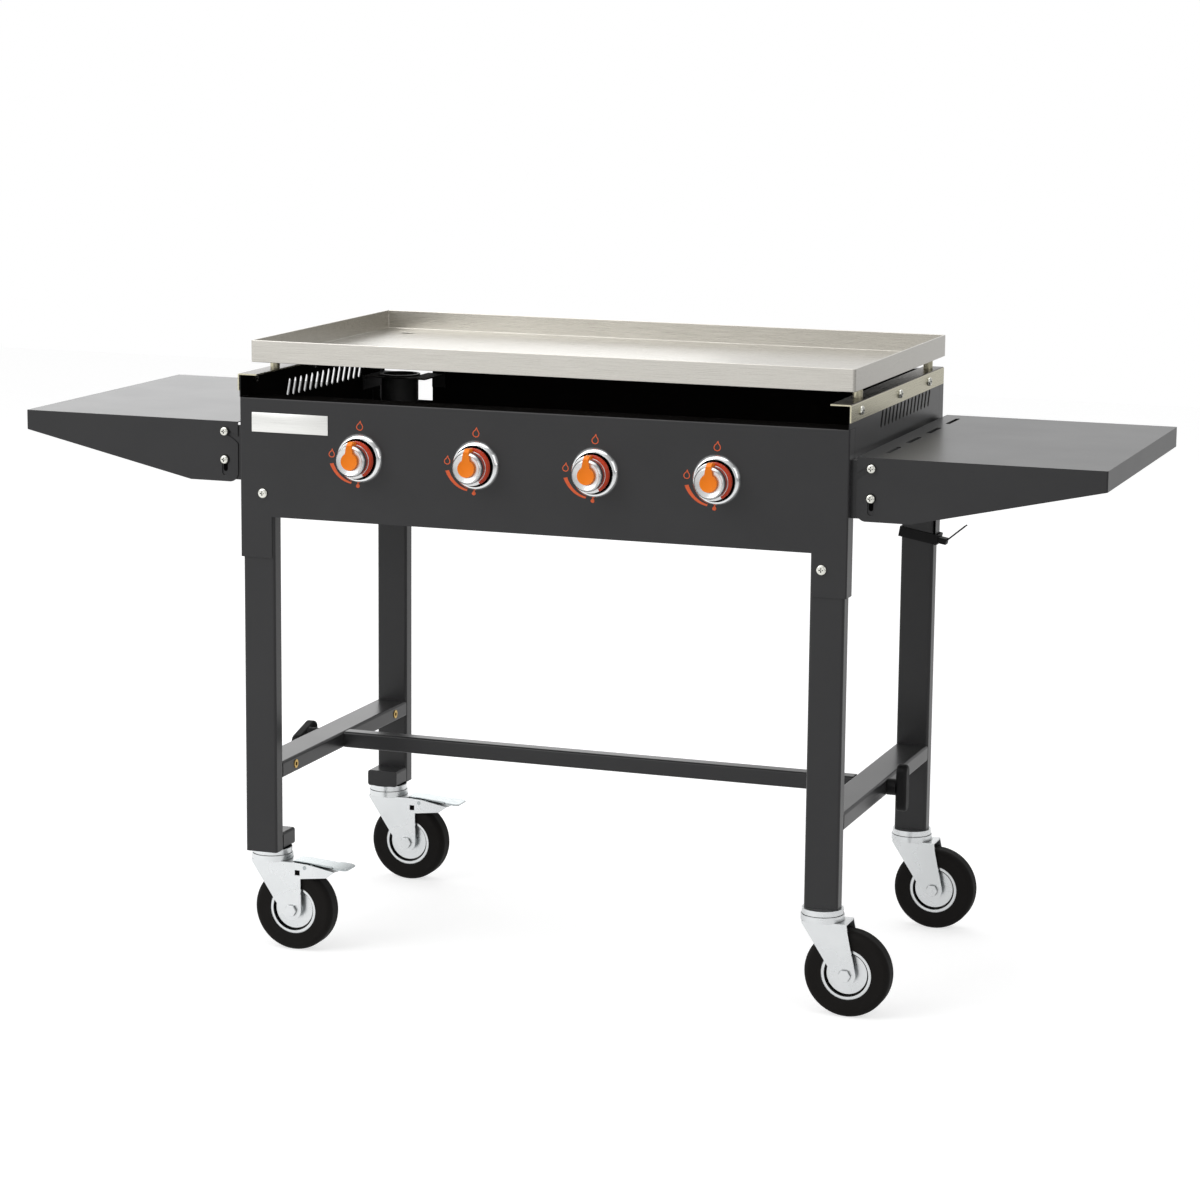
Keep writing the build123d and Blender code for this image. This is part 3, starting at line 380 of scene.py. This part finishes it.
# fasteners, pressings and pedals get painted shade in their recesses and grooves
fastenerZinc = makePlating("clearZincFasteners", "#d2d2ca", "#ecece4", 0.16, 0.24, 6, recessShadeReach=2.2)
yellowZinc = makePlating("yellowZincInserts", "#b08a3c", "#d8b766", 0.22, 0.34, 8)
brightZinc = makePlating("brightZincPressings", "#d8dbdc", "#e8eaeb", 0.24, 0.3, 45, 0.008, recessShadeReach=6.0)
# the pedals' zinc is darker and greener than the forks' zinc as a painted reflection
pedalReflectionZinc = makePlating("wornPedalZinc", "#8f9799", "#c4cacb", 0.14, 0.22, 9, 0.04, recessShadeReach=6.0)
chrome = makePlating("polishedChrome", "#e6e8e9", "#f4f5f5", 0.08, 0.14, 20, 0.01)
brass = makePlating("machinedBrass", "#b08e4c", "#cfae6a", 0.22, 0.32, 8)
stemSteel = makePlating("turnedSteel", "#9d9d9b", "#b9b9b7", 0.25, 0.35, 5)
nylon = makeMoulded("blackMouldedNylon", "#09090a", "#0e0e0f", 0.55, 0.6, 0.08, 0.22)
# matt black that paints the shade in the shelf slots and inside the knob rings
paintedShadeBlack = makeMoulded("dullBlackNylon", "#050505", "#080808", 0.9, 0.6, 0.05, 0.03)
rubber = makeMoulded("blackTyreRubber", "#0f0d0c", "#161412", 0.68, 0.9, 0.1, 0.16)
knobSilver = makePlating("silverMetallisedPlastic", "#cbcccc", "#dedfdf", 0.24, 0.3, 20, 0.015)
knobOrange = makeMoulded("orangePointerPlastic", "#ff800a", "#ff8c18", 0.42, 0.5, 0.03, 0.3)
knobRed = makeMoulded("redSkirtPlastic", "#c23a1c", "#cf4522", 0.4, 0.5, 0.03, 0.3)
printInk = makeMoulded("orangePanelInk", "#e0623a", "#e86c44", 0.55, 0.4, 0.02, 0.2)
badgeMetal = makeBrushedMetal("brushedBadgeAluminium", "#d4d4d1", "#eeeeeb", 0.26, 0.36, 0.4, "X")
print("materials made")


# Finishes of the CAD nodes

corners = ("front_left", "rear_left", "front_right", "rear_right")
brakedCorners = ("front_left", "rear_left")
sides = ("left", "right")
knobNumbers = (1, 2, 3, 4)
nodeFinish = {
    powderCoat: [corner + "_leg" for corner in corners] + [side + "_crossbar" for side in sides]
                + [side + "_shelf" for side in sides] + ["brace_tube", "shelf_brackets", "caster_stubs"],
    fireBoxShadeBlack: ["burner_rail", "cup_hanger"],
    cupEnamelAndShade: ["grease_cup"],
    stainless: ["griddle_plate"],
    railSteel: ["left_plate_rail", "right_plate_rail", "plate_feet"],
    burnerSteel: ["burners"],
    fastenerZinc: ["rail_bolts", "leg_pivot_bolts", "shelf_bolts"],
    yellowZinc: ["rivet_nuts"],
    brightZinc: [corner + piece for corner in corners for piece in ("_fork", "_rim")] + ["caster_races"],
    pedalReflectionZinc: [corner + "_brake_pedal" for corner in brakedCorners],
    chrome: ["knob_bezels"],
    brass: ["gas_valves"],
    stemSteel: ["valve_stem_%d" % i for i in knobNumbers] + ["gas_manifold", "electrodes"],
    knobSilver: ["knob_%d" % i for i in knobNumbers],
    nylon: [side + piece for side in sides for piece in ("_brace_knob", "_shelf_bushes")] + ["leg_strap"],
    rubber: [corner + "_tyre" for corner in corners],
}
for name, material in panelCoat.items():
    nodeFinish[material] = [name]
for material, names in nodeFinish.items():
    for name in names:
        nodes[name].data.materials.clear()
        nodes[name].data.materials.append(material)
print("CAD nodes finished:", sum(len(names) for names in nodeFinish.values()))


# Places that the dressed pieces take from the CAD nodes, in mm

def nodeBox(name):
    # low and high corner, rounded to a micron
    node = nodes[name]
    points = [node.matrix_world @ Vector(corner) / mm for corner in node.bound_box]
    return [[round(end(axis), 3) for axis in zip(*points)] for end in (min, max)]


panelLow, panelHigh = nodeBox("front_panel")
panelFace, panelTop = panelLow[1], panelHigh[2]
knobBoxes = [nodeBox("knob_%d" % i) for i in knobNumbers]
knobCentresX = [(low[0] + high[0]) / 2 for low, high in knobBoxes]
knobHeight = (knobBoxes[0][0][2] + knobBoxes[0][1][2]) / 2
print("panel face at y", panelFace, "and knobs at z", knobHeight)


# Sheet pieces with rounded edges and bends, each in place of its CAD node

rounding = {"edge": 0.5, "plateEdge": 0.9, "bend": 2.2, "near": 0.1, "steps": 2, "bendSteps": 4,
            "sharp": 40.0, "weld": 0.02, "fineWeld": 0.002, "flatAngle": 1.0,
            "pedalTail": 14.0, "pedalTailZ": 134.0, "pedalTailDepth": 3.0}


def copyNode(name):
    node = nodes[name]
    copy = node.copy()
    copy.data = node.data.copy()
    copy.parent = None
    bpy.context.scene.collection.objects.link(copy)
    copy.matrix_world = node.matrix_world
    pick(copy)
    bpy.ops.object.transform_apply(location=True, rotation=True, scale=True)
    bpy.ops.object.mode_set(mode="EDIT")
    bpy.ops.mesh.select_all(action="SELECT")
    bpy.ops.mesh.remove_doubles(threshold=rounding["weld"] * mm)
    bpy.ops.mesh.dissolve_limited(angle_limit=math.radians(rounding["flatAngle"]))
    bpy.ops.object.mode_set(mode="OBJECT")
    return copy


def softenPiece(copy, name, material, body, width):
    useModifier(copy, "BEVEL", width=width * mm, segments=rounding["steps"], limit_method="ANGLE",
                angle_limit=math.radians(rounding["sharp"]))
    tidyMesh(copy, rounding["fineWeld"])
    finishPiece(copy, name + "_rounded", material, body)
    useModifier(copy, "WEIGHTED_NORMAL", keep_sharp=True, weight=100)
    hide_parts(name)


def makeFrontPanel():
    panel = copyNode("front_panel")
    top, face = panelTop - rounding["near"], panelFace + rounding["near"]
    selectParts(panel, "edges", lambda a, b: min(a.z, b.z) > top and max(a.y, b.y) < face)
    bpy.ops.mesh.bevel(offset=rounding["bend"] * mm, segments=rounding["bendSteps"], affect="EDGES")
    bpy.ops.object.mode_set(mode="OBJECT")
    softenPiece(panel, "front_panel", panelCoat["front_panel"], "frame", rounding["edge"])


def makePedals():
    # the tail runs back over the fork to the race
    reach = (-rounding["pedalTail"] * mm, 0, 0)
    for corner in brakedCorners:
        name = corner + "_brake_pedal"
        pedal = copyNode(name)
        back = min(vertex.co.x for vertex in pedal.data.vertices) / mm + rounding["pedalTailDepth"]
        low = rounding["pedalTailZ"]
        selectParts(pedal, "faces",
                    lambda middle, normal: normal.x < -0.9 and middle.x < back and middle.z > low)
        bpy.ops.mesh.extrude_region_move(TRANSFORM_OT_translate={"value": reach})
        bpy.ops.object.mode_set(mode="OBJECT")
        softenPiece(pedal, name, pedalReflectionZinc, corner + "_brake", rounding["edge"])


makeFrontPanel()
makePedals()
softenPiece(copyNode("griddle_plate"), "griddle_plate", stainless, "plate",
            rounding["plateEdge"])
for side in sides:
    shelf, rail = side + "_shelf", side + "_plate_rail"
    softenPiece(copyNode(shelf), shelf, powderCoat, shelf, rounding["edge"])
    softenPiece(copyNode(rail), rail, railSteel, "frame", rounding["edge"])
print("sheet pieces rounded")


# Black sheets of painted shade in the shelf slots under the lower bolts

slotShade = {"centreX": 489.0, "boltZ": 737.5, "width": 6.4, "from": 5.0, "to": 17.5, "y": -238.25,
             "thickness": 0.2, "endSteps": 12}


def makeSlotShades():
    n = slotShade
    half, top, low = n["width"] / 2, n["boltZ"] - n["from"], n["boltZ"] - n["to"]
    turns = [math.pi * (1 + i / n["endSteps"]) for i in range(n["endSteps"] + 1)]
    for side, name in ((-1, "left"), (1, "right")):
        x = side * n["centreX"]
        points = [(x + half * math.cos(t), low + half + half * math.sin(t)) for t in turns]
        shadeSheet = flatPlate(points + [(x + half, top), (x - half, top)], n["y"], n["thickness"])
        finishPiece(shadeSheet, name + "_slot_liner", paintedShadeBlack, "frame")


makeSlotShades()
print("slot liners modelled")


# Control knobs: silver cap and skirt, red band on the skirt, orange hub and pointer
# Their depths are distances in front of the panel's face

knobRow = {
    "boreRadius": 4.6, "neckRadius": 21.5, "neckBack": 5.5,
    "skirtRadius": 27.0, "skirtBack": 13.0, "skirtFront": 21.0, "hemRound": 0.6, "skirtRound": 1.0,
    "capRadius": 22.8, "capFillet": 0.5, "face": 38.0, "faceDish": 0.7, "chamferWide": 2.4,
    "chamferDeep": 4.5,
    "hubRadius": 12.4, "hubFront": 40.0, "hubSink": 0.45, "hubRim": 1.1, "hubDeep": 3.6, "hubSteps": 40,
    "pointerRoot": 11.6, "pointerTip": 7.6, "pointerReach": 27.6, "pointerDrop": 4.5, "pointerOver": 0.4,
    "finDown": 1.5, "finRoot": 1.0, "finFlat": 0.8, "finFoot": 2.5, "finToe": 1.0,
    "pointerEdge": 0.35, "pointerSharp": 50.0,
    "bandFrom": 96.0, "bandTo": -58.0, "bandProud": 0.2, "bandInset": 0.7, "bandHem": 0.9, "bandUnder": 0.4,
    "bandDeep": 1.0, "bandSteps": 40, "spinSteps": 72,
}


def makeKnobBody():
    k = knobRow
    tail, back, step = panelFace - k["neckBack"], panelFace - k["skirtBack"], panelFace - k["skirtFront"]
    front = panelFace - k["face"]
    edge, dish = front + k["chamferDeep"], front + k["faceDish"]
    rim, cap, flat = k["skirtRadius"], k["capRadius"], k["capRadius"] - k["chamferWide"]
    hem, turn, fillet = k["hemRound"], k["skirtRound"], k["capFillet"]
    profile = [(k["boreRadius"], tail), (k["neckRadius"], tail), (k["neckRadius"], back), (rim - hem, back),
               (rim, back - hem), (rim, step + turn), (rim - 0.3 * turn, step + 0.3 * turn),
               (rim - turn, step), (cap + fillet, step), (cap, step - fillet), (cap, edge),
               (cap - 0.4, edge - 1.2), (flat, front + 0.4), (flat - 0.6, front), (flat - 1.6, dish),
               (0, dish + 0.2)]
    return latheY(profile, (knobCentresX[0], knobHeight), k["spinSteps"])


def makeKnobBand():
    # a thin red skin over the right half of the skirt's front and edge
    k = knobRow
    front, back = panelFace - k["skirtFront"], panelFace - k["skirtBack"]
    face, deep, hem = front - k["bandProud"], front + k["bandDeep"], back - k["bandHem"]
    rim, inner = k["skirtRadius"], k["capRadius"] + k["bandInset"]
    skin, under = rim + k["bandProud"], rim - k["bandUnder"]
    profile = [(inner, face), (rim - 0.9, face), (rim + 0.7 * k["bandProud"], front + 0.4),
               (skin, front + 1.2), (skin, hem), (under, hem), (under, deep), (inner, deep), (inner, face)]
    x, z = knobCentresX[0], knobHeight
    start = math.radians(k["bandTo"])
    band = traceLine([(x + r * math.cos(start), y, z + r * math.sin(start)) for r, y in profile])
    bpy.ops.mesh.select_all(action="SELECT")
    bpy.ops.mesh.remove_doubles(threshold=0.01 * mm)
    bpy.ops.mesh.select_all(action="SELECT")
    sweep = math.radians(k["bandFrom"] - k["bandTo"])
    bpy.ops.mesh.spin(steps=k["bandSteps"], angle=sweep, center=(x * mm, 0, z * mm), axis=(0, 1, 0))
    bpy.ops.mesh.select_all(action="SELECT")
    bpy.ops.mesh.fill_holes(sides=0)
    bpy.ops.object.mode_set(mode="OBJECT")
    tidyMesh(band)
    return band


def makeKnobPointer():
    # keyhole shape over the face with a sunk middle, and a fin from it to the skirt
    k = knobRow
    x, z = knobCentresX[0], knobHeight
    front, hub, cap = panelFace - k["hubFront"], k["hubRadius"], k["capRadius"]
    half, steps = k["pointerTip"] / 2, k["hubSteps"]
    opening = math.degrees(math.asin(k["pointerRoot"] / 2 / hub))
    turns = [math.radians(90 + opening + (360 - 2 * opening) * i / steps) for i in range(steps + 1)]
    outline = [(x + hub * math.cos(t), z + hub * math.sin(t)) for t in turns]
    outline += [(x + half, z + cap + k["pointerOver"]), (x - half, z + cap + k["pointerOver"])]
    key = flatPlate(outline, front + k["hubDeep"], k["hubDeep"])
    selectParts(key, "faces", lambda middle, normal: normal.y < -0.9)
    bpy.ops.mesh.inset(thickness=k["hubRim"] * mm)
    bpy.ops.transform.translate(value=(0, k["hubSink"] * mm, 0))
    bpy.ops.object.mode_set(mode="OBJECT")
    # the fin leaves the face, slopes over the cap's edge and stands on the skirt
    tip, step = front + k["finDown"], panelFace - k["skirtFront"]
    root, reach = cap - k["finRoot"], k["pointerReach"]
    profile = [(root, tip), (cap + k["finFlat"], tip), (reach, tip + k["pointerDrop"]),
               (reach, step - k["finFoot"]), (k["skirtRadius"] - k["finToe"], step), (root, step)]
    fin = traceLine([(x - half, y, z + r) for r, y in profile])
    bpy.ops.mesh.select_all(action="SELECT")
    bpy.ops.mesh.edge_face_add()
    bpy.ops.mesh.extrude_region_move(TRANSFORM_OT_translate={"value": (2 * half * mm, 0, 0)})
    bpy.ops.object.mode_set(mode="OBJECT")
    tidyMesh(fin)
    useModifier(key, "BOOLEAN", operation="UNION", object=fin, solver="EXACT")
    bpy.data.objects.remove(fin)
    useModifier(key, "BEVEL", width=k["pointerEdge"] * mm, segments=2, limit_method="ANGLE",
                angle_limit=math.radians(k["pointerSharp"]))
    tidyMesh(key)
    return key


def knobShift(i):
    # from the first knob to another, along the panel
    return knobCentresX[i - 1] - knobCentresX[0]


def placeKnobs():
    parts = (("band", makeKnobBand(), knobRed), ("body", makeKnobBody(), knobSilver),
             ("pointer", makeKnobPointer(), knobOrange))
    for label, first, material in parts:
        finishPiece(first, "knob_1_" + label, material, "knob_1")
        for i in knobNumbers[1:]:
            copyPiece(first, (knobShift(i), 0, 0), "knob_%d_%s" % (i, label), "knob_%d" % i)
    for i in knobNumbers:
        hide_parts("knob_%d" % i)


# Chrome rings round the knobs, with a bright rolled cone from the panel to the lip
# Each curve's points are steps outwards and back from the lip, or from the outer edge

# the last four values shape the black cup of painted shade inside each ring
ring = {"lipRadius": 28.8, "outerRadius": 36.0, "height": 8.0, "spinSteps": 72,
        "lipCurve": ((0, 1.6), (0.4, 0.5), (1.4, 0), (2.8, 0.5), (4.2, 1.8)),
        "footCurve": ((-1.6, 4.0), (-0.5, 5.8)),
        "shadeCupBore": 8.0, "shadeCupWall": 0.6, "shadeCupInside": 1.2, "shadeCupLip": 1.0}


def repeatLathe(profile):
    # one turned piece at each knob, joined
    first = latheY(profile, (knobCentresX[0], knobHeight), ring["spinSteps"])
    copies = []
    for i in knobNumbers[1:]:
        twin = first.copy()
        twin.data = first.data.copy()
        bpy.context.scene.collection.objects.link(twin)
        twin.location.x = knobShift(i) * mm
        copies.append(twin)
    pick(first)
    for twin in copies:
        twin.select_set(True)
    bpy.ops.object.join()
    return first


def makeRings():
    foot, top = panelFace, panelFace - ring["height"]
    lip, outer = ring["lipRadius"], ring["outerRadius"]
    profile = [(lip, foot)] + [(lip + out, top + back) for out, back in ring["lipCurve"]]
    profile += [(outer + out, top + back) for out, back in ring["footCurve"]] + [(outer, foot), (lip, foot)]
    chromeRings = repeatLathe(profile)
    finishPiece(chromeRings, "knob_rings", chrome, "frame")
    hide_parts("knob_bezels")
    # a black cup in each ring paints the shade in the gap round the knob
    bore, wall, sole = ring["shadeCupBore"], lip - ring["shadeCupWall"], foot - ring["shadeCupWall"]
    shadeCups = repeatLathe([(bore, foot), (bore, sole), (wall, sole), (wall, top + ring["shadeCupInside"]),
                         (lip, top + ring["shadeCupLip"]), (lip, foot), (bore, foot)])
    finishPiece(shadeCups, "knob_ring_cores", paintedShadeBlack, "frame")


placeKnobs()
makeRings()
print("knobs and rings modelled")


# Printed setting marks round each knob

marks = {"proud": 0.15, "line": 1.25, "startAt": (0, 47.0), "startSize": 1.1,
         "highAt": (-44, 5), "highSize": 1.0, "lowAt": (-3, -39.5), "lowSize": 0.6, "filledBelow": 0.8,
         "arcFrom": 192.0, "arcTo": 250.0, "arcOuter": 45.0, "arcInner": 38.6, "arcWide": 5.8, "arcThin": 2.6,
         "arcSteps": 18}

flameShape = [(0, -6), (2.6, -5.4), (4.4, -3.4), (4.8, -0.6), (3.9, 2.0), (2.4, 3.6), (2.0, 5.2), (1.0, 7.6),
              (-0.4, 5.4), (-1.6, 3.6), (-3.2, 2.4), (-4.6, 0.2), (-4.8, -2.4), (-3.4, -4.8)]


def makeFlame(kind):
    size = marks[kind + "Size"]
    x, z = knobCentresX[0] + marks[kind + "At"][0], knobHeight + marks[kind + "At"][1]
    points = [(x + px * size, z + pz * size) for px, pz in flameShape]
    line = 0 if size < marks["filledBelow"] else marks["line"]
    piece = flatPlate(points, panelFace, marks["proud"], line)
    return finishPiece(piece, "mark_1_" + kind, printInk, "frame")


def makeArc():
    x, z = knobCentresX[0], knobHeight
    steps = marks["arcSteps"]
    outer, inner = [], []
    for i in range(steps + 1):
        share = i / steps
        angle = math.radians(marks["arcFrom"] + (marks["arcTo"] - marks["arcFrom"]) * share)
        half = (marks["arcWide"] + (marks["arcThin"] - marks["arcWide"]) * share) / 2
        middle = marks["arcOuter"] + (marks["arcInner"] - marks["arcOuter"]) * share
        outer.append((x + (middle + half) * math.cos(angle), z + (middle + half) * math.sin(angle)))
        inner.append((x + (middle - half) * math.cos(angle), z + (middle - half) * math.sin(angle)))
    piece = flatPlate(outer + inner[::-1], panelFace, marks["proud"])
    return finishPiece(piece, "mark_1_arc", printInk, "frame")


firstMarks = [makeFlame("start"), makeFlame("high"), makeFlame("low"), makeArc()]
for i in knobNumbers[1:]:
    for mark in firstMarks:
        copyPiece(mark, (knobShift(i), 0, 0), mark.name.replace("_1_", "_%d_" % i), "frame")
print("panel marks printed")


# Blank badge plate at the top left of the front panel

badge = {"left": -440.5, "right": -319.7, "low": 782.5, "high": 811.0, "proud": 1.2, "edge": 0.5}


def makeBadge():
    b = badge
    outline = [(b["left"], b["low"]), (b["right"], b["low"]), (b["right"], b["high"]), (b["left"], b["high"])]
    plate = flatPlate(outline, panelFace, b["proud"])
    useModifier(plate, "BEVEL", width=b["edge"] * mm, segments=2, limit_method="ANGLE")
    return finishPiece(plate, "blank_badge", badgeMetal, "frame")


makeBadge()
print("badge fixed")


# Floor, light and camera

studio = {"floorSize": 14.0, "floorGlow": 0.66, "floorFall": 0.6, "fallReach": 2.2, "floorGrey": "#c4c4c4",
          "floorRough": 0.9, "skyWhite": "#ffffff",
          "worldFill": 0.5, "glossLeft": 1.0, "glossRight": 0.35, "glossFrom": -0.2, "glossTo": 0.8,
          "keyPower": 85.0, "keySize": (3.0, 3.0), "keyAt": (-2.8, -3.2, 3.4),
          "topPower": 60.0, "topSize": (4.0, 4.0), "topAt": (-0.4, 0.2, 3.8),
          "sidePower": 18.0, "sideSize": (2.5, 2.5), "sideAt": (3.6, -1.6, 2.2),
          "backPower": 12.0, "backSize": (3.0, 1.6), "backAt": (-2.4, 3.4, 1.5), "aim": (0.0, 0.0, 0.7)}


def seenRays(owner):
    # 1 for rays from the camera, from a mirror image or through glass, and the mirror rays alone
    rays = addNode(owner, "ShaderNodeLightPath").outputs
    seen = calculate(owner, "MAXIMUM", rays["Is Camera Ray"], rays["Is Glossy Ray"])
    seen = calculate(owner, "MAXIMUM", seen, rays["Is Transmission Ray"])
    return seen, rays["Is Glossy Ray"]


def alongX(owner, place):
    return addNode(owner, "ShaderNodeSeparateXYZ", {"Vector": place}).outputs["X"]


def makeFloor():
    deselectAll()
    bpy.ops.mesh.primitive_plane_add(size=studio["floorSize"])
    floor = bpy.context.object
    floor.name = "studio_floor"
    material, shader = newMaterial("paleStudioFloor", Roughness=studio["floorRough"])
    tree = material.node_tree
    shader.inputs["Base Color"].default_value = linearColour(studio["floorGrey"])
    seen, mirrored = seenRays(material)
    # what shines sees the floor fall off to the right
    reach = studio["fallReach"]
    fall = remap(material, alongX(material, objectPlace(material)), 0.0, studio["floorFall"], -reach, reach)
    lost = calculate(material, "MULTIPLY", fall, mirrored)
    left = calculate(material, "SUBTRACT", seen, lost)
    glow = calculate(material, "MULTIPLY", left, studio["floorGlow"])
    light = addNode(material, "ShaderNodeEmission", {"Strength": glow})
    both = addNode(material, "ShaderNodeAddShader", {0: shader.outputs["BSDF"], 1: light.outputs["Emission"]})
    tree.links.new(both.outputs["Shader"], tree.nodes["Material Output"].inputs["Surface"])
    floor.data.materials.append(material)


def makeWorld():
    world = bpy.data.worlds.new("studioWorld")
    world.use_nodes = True
    bpy.context.scene.world = world
    seen, mirrored = seenRays(world)
    # metal sees a backdrop that falls off to the right, the camera sees it white
    way = addNode(world, "ShaderNodeTexCoord").outputs["Generated"]
    gloss = remap(world, alongX(world, way), studio["glossLeft"], studio["glossRight"],
                  studio["glossFrom"], studio["glossTo"])
    shown = remap(world, mirrored, 1.0, gloss, 0.0, 1.0)
    level = remap(world, seen, studio["worldFill"], shown, 0.0, 1.0)
    background = world.node_tree.nodes["Background"]
    background.inputs["Color"].default_value = linearColour(studio["skyWhite"])
    world.node_tree.links.new(level, background.inputs["Strength"])


def makeLamp(kind):
    at = studio[kind + "At"]
    deselectAll()
    bpy.ops.object.light_add(type="AREA", location=at)
    lamp = bpy.context.object
    lamp.name = kind + "_lamp"
    lamp.data.shape = "RECTANGLE"
    lamp.data.size, lamp.data.size_y = studio[kind + "Size"]
    lamp.data.energy = studio[kind + "Power"]
    lamp.visible_camera = False
    aim = Vector(studio["aim"]) - Vector(at)
    lamp.rotation_euler = aim.to_track_quat("-Z", "Y").to_euler()


photoView = {"at": (1.714, -4.781, 1.442), "yaw": 19.63, "pitch": 9.99, "roll": 0.55,
             "lens": 103.68, "sensor": 36.0, "shiftX": 0.0008, "shiftY": -0.0139, "farEnd": 60.0}


def makeCamera():
    deselectAll()
    bpy.ops.object.camera_add()
    camera = bpy.context.object
    camera.name = "photo_camera"
    turn = Matrix.Rotation(math.radians(photoView["yaw"]), 4, "Z")
    tilt = Matrix.Rotation(math.radians(90 - photoView["pitch"]), 4, "X")
    roll = Matrix.Rotation(math.radians(photoView["roll"]), 4, "Z")
    camera.matrix_world = Matrix.Translation(photoView["at"]) @ turn @ tilt @ roll
    camera.data.sensor_width = photoView["sensor"]
    camera.data.sensor_fit = "HORIZONTAL"
    camera.data.lens = photoView["lens"]
    camera.data.shift_x = photoView["shiftX"]
    camera.data.shift_y = photoView["shiftY"]
    camera.data.clip_end = photoView["farEnd"]
    bpy.context.scene.camera = camera


makeFloor()
makeWorld()
for kind in ("key", "top", "side", "back"):
    makeLamp(kind)
makeCamera()
bpy.context.scene.view_settings.view_transform = "Standard"
print("stage set")
